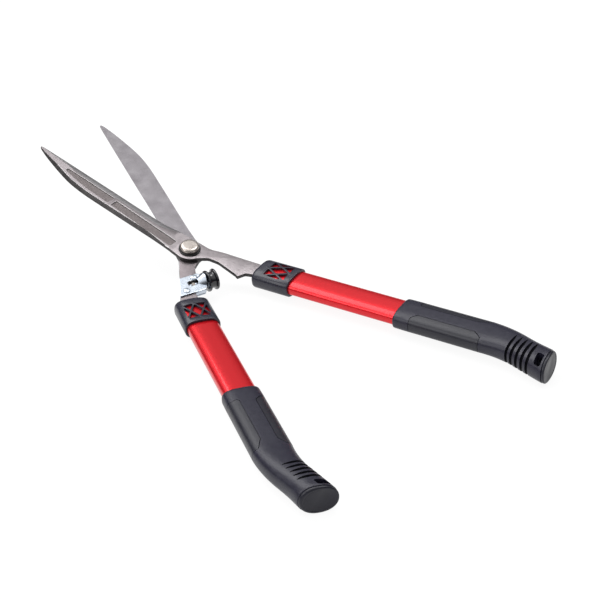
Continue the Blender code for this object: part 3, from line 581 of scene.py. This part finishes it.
def punch(corners, layers):
    """A cutting tool with one outline per layer of (inset, height)."""
    points = arc_corners(corners)
    return skin("punch", [[(x, y, height) for x, y in inset_outline(points, inset)]
                          for inset, height in layers])


for forging in forgings.values():
    for panel in PANELS:
        cut(forging, punch(panel, PANEL_LAYERS))
    cut(forging, round_cutter(PIVOT_BORE, -2, 8))
    print(forging.name, "has", len(forging.data.polygons), "faces with its panels and hole")

# %% [markdown]
# The tang's end is cranked out of the blade's plane, because the handles bend away from it. The mesh
# is bisected across the crank first, so that the bend has an edge to fold on. The two blades crank to
# opposite faces, as the lower one is turned over. The lower tang is also notched for the buffer's
# stud and cut away where its bracket is folded down. Each face then gets its finish by where it is
# and which way it looks.

# %% Crank the tang and finish both blades
RIVETS = ((-13.9, -38.2), (-28.6, -53.6))     # across and along
BUFFER_ALONG = -45.6
BOSS_END = -16                           # along, where the lapped back gives way to the tang's back with painted shadow
THROUGH = ((0, -20), (0, 20))            # layers of a cutter that goes right through


def crank(piece, way):
    open_up(piece)
    bpy.ops.mesh.bisect(plane_co=(*HANDLE_START, 0), plane_no=(*tang_way, 0))
    mesh = bmesh.from_edit_mesh(piece.data)
    for vertex in mesh.verts:
        past = (vertex.co.xy - Vector(HANDLE_START)).dot(tang_way)
        vertex.co.z += way * max(past, 0.0) * math.tan(HANDLE_RISE)
    bmesh.update_edit_mesh(piece.data)
    bpy.ops.object.mode_set(mode="OBJECT")


def surface_of(face):
    """0 satin, 1 ground bevel, 2 painted side shade, 3 sunk panel with painted wall shade, 4 painted rim
    highlight, 5 flat back, 6 tang back with painted shadow.
    """
    middle, way = face.center, face.normal
    past_root = middle.y > BLADE_ROOT + 0.2
    if past_root and abs(middle.z - BLADE_THICK + PANEL_DEPTH) < 0.08 and way.z > 0.9:
        return 3 if middle.y < PANELS_END else 1
    # Faces looking down: the lapped back, and past the boss the tang's back, darkened as painted shadow.
    if way.z < -0.96:
        return 5 if middle.y > BOSS_END else 6
    at_face = min(middle.z, abs(middle.z - BLADE_THICK)) < 0.45
    # Steep faces that look towards the edge get the panel's dark colour as painted shade.
    if past_root and way.x < -0.08 and middle.x < reading(EDGE_LINE, middle.y) + 12:
        return 1 if abs(way.z) > 0.5 or middle.z < EDGE_THICK else 3
    # Rounded rims get a painted highlight.
    if at_face and 0.3 < abs(way.z) < 0.96:
        return 4
    # Steep sides get painted shade.
    if abs(way.z) < 0.45 or (past_root and way.x > 0.35):
        return 2
    return 0


def box_cutter(low, high, radius):
    """A straight cutter through the plate, from one corner of (across, along) to the other."""
    (x0, y0), (x1, y1) = low, high
    return punch(((x0, y0, radius), (x1, y0, radius), (x1, y1, radius), (x0, y1, radius)), THROUGH)


def rivet_holes():
    holes = []
    for across, along in RIVETS:
        hole = round_cutter(2.1, -16, 16, 24)
        carry(hole, Matrix.Translation((across, along, 0)))
        holes.append(hole)
    return holes


def finish_blade(piece, side):
    crank(piece, 1 if side == UPPER else -1)
    face_outwards(piece)
    if side == LOWER:
        stud_notch = box_cutter((-22.6, BUFFER_ALONG - 3.7), (6, BUFFER_ALONG + 3.7), 1)
        flange_room = box_cutter((-21.6, -78.8), (2, -58.2), 0.8)
        cut(piece, stud_notch, flange_room, *rivet_holes())
    for face in piece.data.polygons:
        face.material_index = surface_of(face)
    lift = Matrix.Translation((0, 0, MATING_GAP))
    set_in_place(piece, forging_bench(side) @ lift, BODY[side], "blade_" + WORD[side],
                 (SATIN, BEVEL, SIDE_SHADE, SUNK_PANEL_AND_WALL_SHADE, RIM_HIGHLIGHT, FLAT, TANG_BACK_SHADOW), 28)


for side, forging in forgings.items():
    finish_blade(forging, side)

# %% [markdown]
# ## The pivot
# A bolt with a domed, flat-topped head holds the blades together over a black washer. Underneath are
# a spring washer and a lock nut. Round pieces like these are easiest on the lathe: draw half of the
# section once and spin it.

# %% Bolt, washers and lock nut
LOWER_BENCH = half_bench(LOWER)
blade_face = MATING_GAP + BLADE_THICK
washer_low = blade_face + 0.3
head_low = washer_low + 1.1 + 0.3
nut_top = -blade_face - 0.3 - 0.9 - 0.3
nut_low = nut_top - 6.0

bolt = turn("Pivot_bolt", [(0, nut_low - 1.6), (4.4, nut_low - 1.6), (5, nut_low - 1), (5, head_low),
                           (9.7, head_low), (10.1, head_low + 0.3), (10.1, head_low + 1.9),
                           (9.95, head_low + 2.7), (9.5, head_low + 3.4), (8.8, head_low + 3.95),
                           (7.9, head_low + 4.3), (6.8, head_low + 4.46), (5.7, head_low + 4.5),
                           (0, head_low + 4.5)], 96)


def set_on_lower(piece, node, made, smooth=35):
    set_in_place(piece, LOWER_BENCH, "lower_half", node, [made], smooth)


set_on_lower(bolt, "pivot_bolt", NICKEL, 30)


def washer(name, outer, low, high):
    off = 0.25                           # its outer edges are rounded by this much
    return turn(name, [(PIVOT_BORE, low), (outer - off, low), (outer, low + off), (outer, high - off),
                       (outer - off, high), (PIVOT_BORE, high)], 72)


set_on_lower(washer("Head_washer", 11.7, washer_low, washer_low + 1.1), "head_washer", WASHER_BLACK)
set_on_lower(washer("Spring_washer", 9.0, -blade_face - 1.2, -blade_face - 0.3), "spring_washer", ZINC)


def hexagon(name, flats, low, high):
    """A nut: six sides, whose top corners are turned off on a cone."""
    radius = flats / 2 / math.cos(math.pi / 6)
    corners = [(radius * math.cos(k * math.pi / 3), radius * math.sin(k * math.pi / 3)) for k in range(6)]
    nut = skin(name, [[(x, y, height) for x, y in corners] for height in (low, high)])
    slope = 0.577                        # thirty degrees
    inner, reach = flats / 2 * 0.95, radius + 2
    drop = (reach - inner) * slope
    cone = turn("cone", [(0, low), (inner, low), (reach, low + drop), (reach, high - drop), (inner, high),
                         (0, high)])
    boolean(nut, cone, "INTERSECT")
    return nut


lock_nut = hexagon("Lock_nut", 16, nut_low, nut_top)
cut(lock_nut, round_cutter(PIVOT_BORE, nut_low - 2, nut_top + 2))
set_on_lower(lock_nut, "lock_nut", ZINC, 25)

# %% [markdown]
# ## The buffer and its bracket
# When the shears close, a flat on the upper tang strikes a rubber buffer. It sits on a stud between
# two stamped plates that are riveted to the lower tang. Each plate rises in a half cone towards the
# buffer. That is a sheet pressed over a form, so a grid of points is raised by a formula, and
# Solidify gives it the sheet's thickness.

# %% Stamped plates
PLATE_THICK, PLATE_GAP = 1.2, 0.3
PLATE_NEAR, PLATE_FAR = -58.8, -34.2     # along
PLATE_RIM = -4.1                         # across
CONE_START, CONE_SMALL, CONE_LARGE = -17, 2.2, 9.4
TOP, BOTTOM = "top", "bottom"
STUD_HEIGHT = -(MATING_GAP + BLADE_THICK / 2)


def plate_rise(across, along):
    """The plate's underside: flat on the tang, then a half cone."""
    flat = PLATE_GAP
    share = (across - CONE_START) / (PLATE_RIM - CONE_START)
    if share <= 0:
        return flat
    radius = CONE_SMALL + (CONE_LARGE - CONE_SMALL) * share
    offset = along - BUFFER_ALONG
    round_top = math.sqrt(max(radius ** 2 - offset ** 2, 0.0)) + STUD_HEIGHT
    blend = 0.5                          # softens the foot of the cone
    return flat + (round_top - flat + math.hypot(round_top - flat, blend)) / 2 * ease(share, 0, 0.12)


def stamped_plate(name, way):
    bpy.ops.object.select_all(action="DESELECT")
    bpy.ops.mesh.primitive_grid_add(x_subdivisions=44, y_subdivisions=40, size=2)
    plate = bpy.context.object
    plate.name = name
    for vertex in plate.data.vertices:
        u, v = (vertex.co.x + 1) / 2, (vertex.co.y + 1) / 2
        along = PLATE_NEAR + (PLATE_FAR - PLATE_NEAR) * v
        outer = -38.2 + 10.4 * v
        rim = PLATE_RIM - 5.0 * ((along - BUFFER_ALONG) / 13) ** 2
        across = outer + (rim - outer) * u
        up = plate_rise(across, along)
        vertex.co = (across, along, up if way == TOP else -up - BLADE_THICK - 2 * MATING_GAP)
    face_outwards(plate)
    pick_up(plate)
    wall = plate.modifiers.new("sheet", "SOLIDIFY")
    wall.thickness = PLATE_THICK
    upwards = sum(face.normal.z for face in plate.data.polygons) > 0
    wall.offset = 1 if upwards == (way == TOP) else -1
    bpy.ops.object.modifier_apply(modifier=wall.name)
    face_outwards(plate)
    if way == TOP:
        boolean(plate, folded_flange(), "UNION")
    slot = box_cutter((-23.5, BUFFER_ALONG - 4.2), (-12.5, BUFFER_ALONG + 4.2), 3.4)
    cut(plate, slot, *rivet_holes())
    soften(plate, 0.2)
    return plate


def folded_flange():
    """The top plate's near side is folded down over the tang's cut corner."""
    profile = [(-58.0, 0.35), (-58.0, 1.45), (-59.1, 1.5), (-59.6, 1.32), (-59.9, 0.95), (-60.0, 0.4),
               (-60.0, -3.1), (-58.65, -3.1), (-58.65, 0.3)]
    return skin("flange", [[(across, along, up) for along, up in profile] for across in (-21.0, -9.6)])


for name, way, node in (("Bracket_plate_top", TOP, "bracket_top"),
                        ("Bracket_plate_bottom", BOTTOM, "bracket_bottom")):
    set_on_lower(stamped_plate(name, way), node, ZINC, 40)

# %% [markdown]
# The rivets are turned with a low domed head at each end. The buffer is turned too, as a spool with
# two flanges, and laid on its side along the stud. It is pushed on to the stud from the bracket's side.

# %% Rivets, buffer, stud and stud nut
RIVET_HEAD = ((0, 0.9), (2.2, 0.85), (3.2, 0.5), (3.6, 0.1), (3.6, 0), (1.8, 0))     # radius and height
plate_top = PLATE_GAP + PLATE_THICK + 0.3
plate_low = -BLADE_THICK - 2 * MATING_GAP - plate_top
rivet_profile = [(radius, plate_low - height) for radius, height in RIVET_HEAD]
rivet_profile += [(radius, plate_top + height) for radius, height in RIVET_HEAD[::-1]]
for number, (across, along) in enumerate(RIVETS, 1):
    rivet = turn("Rivet_" + str(number), rivet_profile, 40)
    carry(rivet, Matrix.Translation((across, along, 0)))
    set_on_lower(rivet, "bracket_rivet_" + str(number), ZINC)


def stud_line(across):
    return Matrix.Translation((across, BUFFER_ALONG, STUD_HEIGHT)) @ Matrix.Rotation(math.pi / 2, 4, "Y")


buffer = turn("Buffer", [(2.3, 0), (10.5, 0), (11.1, 0.25), (11.3, 0.8), (11.3, 1.7), (11.0, 2.3),
                         (9.6, 2.7), (8.9, 3.1), (8.7, 3.7), (8.7, 7.3), (8.9, 7.9), (9.6, 8.3),
                         (11.0, 8.7), (11.3, 9.3), (11.3, 10.0), (11.0, 10.6), (10.3, 10.95),
                         (9.4, 11.0), (0, 11.0), (0, 6.6), (2.3, 6.6)], 72)
carry(buffer, stud_line(-2.7))
set_on_lower(buffer, "buffer_rubber", RUBBER)
stud = turn("Buffer_stud", [(0, 0), (1.6, 0), (2, 0.4), (2, 25.6), (0, 25.6)], 32)
carry(stud, stud_line(-22))
set_on_lower(stud, "buffer_stud", ZINC)
stud_nut = hexagon("Stud_nut", 6.6, 0, 3.4)
cut(stud_nut, round_cutter(2.3, -1, 5, 32))
carry(stud_nut, stud_line(-19.5))
set_on_lower(stud_nut, "buffer_nut", NICKEL, 25)

# %% [markdown]
# ## Tubes and collars
# The handles are tubes with a flat oval section, wider than they are thick. That shape is a
# squircle: a circle whose coordinates are raised to a power, so that it fills its corners. The tube
# is a skin with a bore cut out of it. The collar is the same, with an opening for the tang in
# front and a lattice of crossed bars above and below, through which the red tube shows.

# %% Flat oval rings and the tubes
ROUNDNESS = 3.0
RING_CORNERS = 72
TUBE, TUBE_BORE = (32.2, 14.8), (29.4, 12.0)     # width and thickness
SLEEVE_BORE = (32.8, 15.4)               # what slides over the tube


def squircle(angle, width, thick, roundness=ROUNDNESS):
    """One point of the flat oval, as (across, up)."""
    c, s = math.cos(angle), math.sin(angle)
    return (math.copysign(abs(c) ** (2 / roundness), c) * width / 2,
            math.copysign(abs(s) ** (2 / roundness), s) * thick / 2)


def oval(width, thick, along):
    ring = []
    for i in range(RING_CORNERS):
        x, z = squircle(2 * math.pi * (i + 0.5) / RING_CORNERS, width, thick)
        ring.append((x, along, z))
    return ring


def oval_rod(name, *rings):
    return skin(name, [oval(width, thick, along) for width, thick, along in rings])


tube = oval_rod("Tube_upper", (31.6, 14.2, 9), (*TUBE, 9.3), (*TUBE, 80), (*TUBE, 160), (*TUBE, 231.7),
                (31.6, 14.2, 232))
cut(tube, oval_rod("bore", (*TUBE_BORE, 0), (*TUBE_BORE, 240)))
set_pair(tube, "tube", [LACQUER])

# %% [markdown]
# The lattice is cut as the openings between the bars: two crosses side by side leave four
# triangles above and below their middles, one at each side, and a diamond where they meet.

# %% Collars
WINDOW = (12.0, 39.0)                    # along
CROSS_WIDTH = 13.0
BAR = 1.7


def lattice_openings():
    low, high = WINDOW
    half_long, half_wide = (high - low) / 2, CROSS_WIDTH / 2
    middle = (low + high) / 2
    slope = math.atan2(half_long, half_wide)
    tip_along, tip_across = BAR / 2 / math.cos(slope), BAR / 2 / math.sin(slope)
    rim = BAR / 2
    openings = []
    for centre in (-half_wide, half_wide):
        for way in (-1, 1):
            reach = half_long - rim
            wide = (reach - tip_along) / math.tan(slope)
            tip, base = middle + way * tip_along, middle + way * reach
            openings.append([(centre, tip, 0.5), (centre + wide, base, 0.8), (centre - wide, base, 0.8)])
    side_reach = half_wide - rim
    tall = (side_reach - tip_across) * math.tan(slope)
    for way in (-1, 1):
        start, end = way * (half_wide + tip_across), way * (half_wide + side_reach)
        openings.append([(start, middle, 0.5), (end, middle + tall, 0.8), (end, middle - tall, 0.8)])
    tall = half_long - tip_along - rim * 0.4
    openings.append([(half_wide - tip_across, middle, 0.6), (0, middle + tall, 0.8),
                     (-half_wide + tip_across, middle, 0.6), (0, middle - tall, 0.8)])
    return openings


collar = oval_rod("Collar_upper", (30.6, 16.0, 0), (32.4, 17.4, 0.25), (34.4, 18.8, 1.0), (35.8, 19.9, 2.2),
                  (36.4, 20.4, 4.0), (36.4, 20.4, 25), (36.4, 20.4, 45.0), (36.0, 20.0, 45.5))
cut(collar, oval_rod("bore", (*SLEEVE_BORE, 7), (*SLEEVE_BORE, 51)),
    oval_rod("mouth", (28.4, 13.2, -1), (28.4, 13.2, 8)))
for opening in lattice_openings():
    cut(collar, punch(opening, THROUGH))
soften(collar, 0.25)
set_pair(collar, "collar", [COLLAR_BLACK])

# %% [markdown]
# ## Grips
# The grip is the hand's piece: a flat oval sleeve that bends towards the other grip near its end,
# with two soft inlays, five finger grooves and a hole to hang the shears by. The section is carried
# along a bent line, so everything on the grip is placed by three numbers: how far along the line,
# how far across and how far up.

# %% The grip's bent line and its section
GRIP_START, GRIP_LENGTH, GRIP_STRAIGHT = 170.5, 170.0, 114.0
GRIP_BEND, BEND_SPAN = math.radians(18.5), 40.0
GRIP_WIDTH, GRIP_THICK = 37.4, 19.4      # before the bend
GRIP_WAIST, WAIST_NARROWING = 132.0, 5.6
END_WIDENING, END_THICKENING = 1.2, 8.6
END_SLANT = math.tan(math.radians(22))   # the inner side is longer than the outer side
END_LEAN = 1.4                           # how far the flare at the end leans outwards
CAP_THICK = 3.0
BEND_FIRST = GRIP_STRAIGHT - BEND_SPAN / 2


def share(s, first, last):
    return min(max((s - first) / (last - first), 0.0), 1.0)


def on_grip(s, across, up):
    radius = BEND_SPAN / GRIP_BEND
    bend = min(max((s - BEND_FIRST) / radius, 0.0), GRIP_BEND)
    past = max(0.0, s - BEND_FIRST - BEND_SPAN)
    x = radius * (1 - math.cos(bend)) + past * math.sin(bend)
    y = min(s, BEND_FIRST) + radius * math.sin(bend) + past * math.cos(bend)
    return (x + across * math.cos(bend), GRIP_START + y - across * math.sin(bend), up)


def lean(s):
    return END_LEAN * share(s, GRIP_WAIST, GRIP_LENGTH) ** 2


def on_section(s, angle, inset=0.0):
    """A point of the section at s, as (across, up): it narrows to the waist, flares and gets rounder."""
    flare = share(s, GRIP_WAIST, GRIP_LENGTH) ** 2
    swell = share(s, BEND_FIRST, GRIP_LENGTH)
    width = GRIP_WIDTH - WAIST_NARROWING * share(s, BEND_FIRST, GRIP_WAIST) + END_WIDENING * flare
    thick = GRIP_THICK + END_THICKENING * swell
    across, up = squircle(angle, width - 2 * inset, thick - 2 * inset, ROUNDNESS - 0.8 * swell)
    return across - lean(s), up


def grip_ring(s, inset=0.0):
    """One ring of the grip; towards its end the rings slant more and more."""
    slant = END_SLANT * ease(s, 140, 163)
    ring = []
    for i in range(RING_CORNERS):
        across, up = on_section(s, 2 * math.pi * (i + 0.5) / RING_CORNERS, inset)
        ring.append(on_grip(s + slant * (across + lean(s)), across, up))
    return ring


def side_angles(way, edge, half_width, count):
    """Bearings from an edge line below, round one side, to the same line above."""
    first = math.acos(math.copysign(abs(edge / half_width) ** (ROUNDNESS / 2), edge))
    middle = 0 if way > 0 else math.pi
    return [middle - way * first + way * 2 * first * i / count for i in range(count + 1)]


# %% Inlays and the pockets that they sit in
INLAY_START, INLAY_END, INLAY_EDGE, INLAY_DEPTH = 18.0, 94.0, 7.0, 1.6
SEAM = 0.5
CUT_BACK = 5.5                           # how far the ends are cut back across
FRONT_SLOPE = {1: 5.5, -1: 2.0}          # length of the cut at the front, inner and outer
BACK_SLOPE = {1: 8.0, -1: 12.0}          # and at the back


def inlay_solid(name, way, clearance, over, depth):
    """A strip round one side of the grip, its ends cut back at the corners."""
    low, high = INLAY_START + clearance, INLAY_END - clearance
    front, back = FRONT_SLOPE[way], BACK_SLOPE[way]
    places = [low + front * i / 4 for i in range(5)] + [34, 48, 62, 74]
    places += [high - back * (5 - i) / 5 for i in range(6)]
    rings = []
    for s in places:
        cut_back = max(min(front, CUT_BACK) * (1 - (s - low) / front),
                       CUT_BACK * (1 - (high - s) / back), 0.0)
        angles = side_angles(way, INLAY_EDGE + clearance + cut_back, GRIP_WIDTH / 2, 16)
        outside = [on_grip(s, *on_section(s, angle, -over)) for angle in angles]
        inside = [on_grip(s, *on_section(s, angle, depth)) for angle in angles]
        rings.append(outside + inside[::-1])
    return skin(name, rings)


for side in (UPPER, LOWER):
    for way, word in ((1, "inner"), (-1, "outer")):
        inlay = inlay_solid("Inlay_" + word + "_" + WORD[side], way, SEAM, 0.0, INLAY_DEPTH - SEAM)
        node = "grip_inlay_" + word + "_" + WORD[side]
        set_in_place(inlay, handle_bench(side), BODY[side], node, [INLAY], 40)

# %% [markdown]
# The grooves are cut by a rounded rod that follows the grip's section from the top, over the inner
# side, to the underside. Its ends are tapered, so each groove fades out as a moulded groove does.
# The five grooves fan out: each next one slants a little more and begins a little further out.

# %% Grooves
GROOVES, GROOVE_START, GROOVE_PITCH = 5, 125.5, 6.3
GROOVE_HALF, GROOVE_DEPTH = 1.7, 3.0
GROOVE_SLANT = 13                        # degrees, and each next groove slants one more
GROOVE_EDGE, GROOVE_STEP = -6.8, 0.8     # where the first one begins across, and the step outwards
ROD_RINGS, ROD_SIDES = 30, 12


def groove_rod(number):
    slope = math.tan(math.radians(GROOVE_SLANT + number))
    start = GROOVE_START + GROOVE_PITCH * number
    rings = []
    for i, angle in enumerate(side_angles(1, GROOVE_EDGE - GROOVE_STEP * number, 17, ROD_RINGS)):
        s = start + slope * on_section(start, angle)[0]
        across, up = on_section(s, angle)
        deeper = on_section(s, angle, 0.5)
        out = (Vector((across, up)) - Vector(deeper)).normalized()
        size = min(1.0, 0.25 + 0.25 * min(i, ROD_RINGS - i))
        ring = []
        for k in range(ROD_SIDES):
            bearing = 2 * math.pi * k / ROD_SIDES
            lift = math.sin(bearing) * GROOVE_DEPTH * size
            ring.append(on_grip(s + math.cos(bearing) * GROOVE_HALF * size,
                                across + out.x * lift, up + out.y * lift))
        rings.append(ring)
    rod = skin("groove", rings)
    # The rod's near-black finish stays on the groove's cut faces as painted shade.
    rod.data.materials.append(GROOVE_SHADE)
    return rod


# %% [markdown]
# The body is skinned first. Then its bore, the inlays' pockets and the grooves are cut out of it,
# and last the hanging hole, which slants as the grip's end does.

# %% Grip body
BODY_END = GRIP_LENGTH - CAP_THICK - 0.3
grip_rings = [grip_ring(0, 1.3), grip_ring(0.3, 0.8), grip_ring(0.9, 0.35), grip_ring(2, 0.15),
              grip_ring(5, 0.1), grip_ring(12)]
grip_rings += [grip_ring(s) for s in (20, 40, 60, 80)]
grip_rings += [grip_ring(BEND_FIRST + BEND_SPAN * i / 12) for i in range(13)]
grip_rings += [grip_ring(s) for s in (138, 142, 146, 150, 154, 158, 162, BODY_END - 0.6)]
grip_rings += [grip_ring(BODY_END - 0.2, 0.12), grip_ring(BODY_END, 0.4)]
grip = skin("Grip_upper", grip_rings)
grip.data.materials.append(CHARCOAL)
cut(grip, oval_rod("bore", (*SLEEVE_BORE, GRIP_START - 2), (*SLEEVE_BORE, 234)))
for way in (1, -1):
    cut(grip, inlay_solid("pocket", way, 0.0, 2.0, INLAY_DEPTH))
for number in range(GROOVES):
    cut(grip, groove_rod(number))

# %% Hanging hole
HOLE_ALONG, HOLE_ACROSS, HOLE_CORNER = 161.0, 6.5, 2.2
hole_corners = []
for along, across in ((-4, -6), (4, -6), (4, 6), (-4, 6)):
    across += HOLE_ACROSS
    x, y = on_grip(HOLE_ALONG + along + END_SLANT * across, across, 0)[:2]
    hole_corners.append((x, y, HOLE_CORNER))
cut(grip, punch(hole_corners, THROUGH))
soften(grip, 0.3, 40)
set_pair(grip, "grip", [CHARCOAL, GROOVE_SHADE])

# %% End caps
CAP_RINGS = ((0, 0.9), (0.4, 0.5), (1.7, 0.5), (2.4, 0.8), (2.8, 1.3), (3.0, 2.0), (3.0, 2.6), (2.75, 3.0))
cap_first = GRIP_LENGTH - CAP_THICK
cap = skin("Grip_cap_upper", [grip_ring(cap_first + place, inset) for place, inset in CAP_RINGS])
set_pair(cap, "grip_cap", [CAP_FACE], 30)

# %% Fillers keep the working model's shape
for side in (UPPER, LOWER):
    filler = frame["nodes"]["tang_plug_" + WORD[side]]
    filler.data.materials.clear()
    filler.data.materials.append(CHARCOAL)

# %% [markdown]
# ## Studio
# The shears lie on a plain white sweep. The camera stands where the photograph was taken from. Soft
# lamps hang above, and the white of the background comes from the floor and the world themselves, by
# light path, so it adds no light to the tool. Dark and shiny pieces need something to mirror: what
# they and all light see of the world is a room, bright above and dim at the horizon.

# %% Camera
CAMERA_AIM = pivot_place + Vector((0.03655, -0.14267, -0.01175))
CAMERA_DISTANCE = 1.40544
CAMERA_TURN, CAMERA_HEIGHT, CAMERA_ROLL = math.radians(-34.9916), math.radians(31.9595), math.radians(5.2142)
lens = bpy.data.cameras.new("Studio_camera")
lens.lens = 84.0
lens.sensor_width = 36.0
camera = bpy.data.objects.new("Studio_camera", lens)
bpy.context.collection.objects.link(camera)
look = (Matrix.Rotation(CAMERA_TURN, 4, "Z") @ Matrix.Rotation(math.pi / 2 - CAMERA_HEIGHT, 4, "X")
        @ Matrix.Rotation(-CAMERA_ROLL, 4, "Z"))
camera.matrix_world = Matrix.Translation(CAMERA_AIM + look.to_3x3() @ Vector((0, 0, CAMERA_DISTANCE))) @ look
bpy.context.scene.camera = camera
print("camera stands at", [round(v, 3) for v in camera.location])


# %% Floor and world
def seen_directly(tree):
    """1 for what the camera, a mirror or glass sees, and 0 for light that falls on things."""
    path = tree.nodes.new("ShaderNodeLightPath")
    seen = calculate(tree, "MAXIMUM", path.outputs["Is Camera Ray"], path.outputs["Is Glossy Ray"])
    return calculate(tree, "MAXIMUM", seen, path.outputs["Is Transmission Ray"])


def mix_shaders(tree, share_of_second, first, second, output):
    both = tree.nodes.new("ShaderNodeMixShader")
    feed(tree, both, {0: share_of_second, 1: first, 2: second})
    feed(tree, output, {"Surface": both.outputs[0]})


GLOW_SHARE, GLOW_STRENGTH = 0.86, 1.06   # the lit paper's share keeps the shadow
bpy.ops.object.select_all(action="DESELECT")
bpy.ops.mesh.primitive_plane_add(size=12)
floor = bpy.context.object
floor.name = "Studio_floor"
paper = bpy.data.materials.new("White_sweep")
paper.use_nodes = True
tree = paper.node_tree
matte = tree.nodes["Principled BSDF"]
feed(tree, matte, {"Base Color": (0.86, 0.86, 0.86, 1), "Roughness": 0.9, "Specular IOR Level": 0.1})
glow = tree.nodes.new("ShaderNodeEmission")
feed(tree, glow, {"Color": (1, 1, 1, 1), "Strength": GLOW_STRENGTH})
glow_share = calculate(tree, "MULTIPLY", seen_directly(tree), GLOW_SHARE)
mix_shaders(tree, glow_share, matte.outputs[0], glow.outputs[0], tree.nodes["Material Output"])
floor.data.materials.append(paper)

# %% World: bright above, dim at the horizon
world = bpy.data.worlds.new("Studio_world")
world.use_nodes = True
bpy.context.scene.world = world
tree = world.node_tree
way = tree.nodes.new("ShaderNodeTexCoord")
parts = tree.nodes.new("ShaderNodeSeparateXYZ")
feed(tree, parts, {0: way.outputs["Generated"]})
height = tree.nodes.new("ShaderNodeMapRange")
height.interpolation_type = "SMOOTHSTEP"
feed(tree, height, {"Value": parts.outputs["Z"], "From Min": 0.25, "From Max": 0.85, "To Min": 0.08,
                    "To Max": 1.0})
room, white = tree.nodes["Background"], tree.nodes.new("ShaderNodeBackground")
feed(tree, room, {"Color": (1, 1, 1, 1), "Strength": height.outputs["Result"]})
feed(tree, white, {"Color": (1, 1, 1, 1), "Strength": 1.0})
path = tree.nodes.new("ShaderNodeLightPath")
mix_shaders(tree, path.outputs["Is Camera Ray"], room.outputs[0], white.outputs[0],
            tree.nodes["World Output"])
print("the floor is white where it is seen; the world is bright above and dim at the horizon")


# %% Lamps
def softbox(name, place, target, size, power):
    lamp = bpy.data.lights.new(name, "AREA")
    lamp.shape = "SQUARE"
    lamp.size = size
    lamp.energy = power
    stand = bpy.data.objects.new(name, lamp)
    bpy.context.collection.objects.link(stand)
    way = Vector(target) - Vector(place)
    stand.matrix_world = Matrix.Translation(place) @ way.to_track_quat("-Z", "Y").to_matrix().to_4x4()


softbox("Softbox_behind", (-0.1, 0.9, 1.5), (0, 0, 0), 1.2, 16)
softbox("Softbox_left", (-1.3, 0.2, 0.9), (0, 0, 0), 0.9, 7)
softbox("Softbox_right", (0.7, 0.1, 1.3), (0, 0, 0), 0.45, 4)
bpy.context.scene.view_settings.view_transform = "Standard"
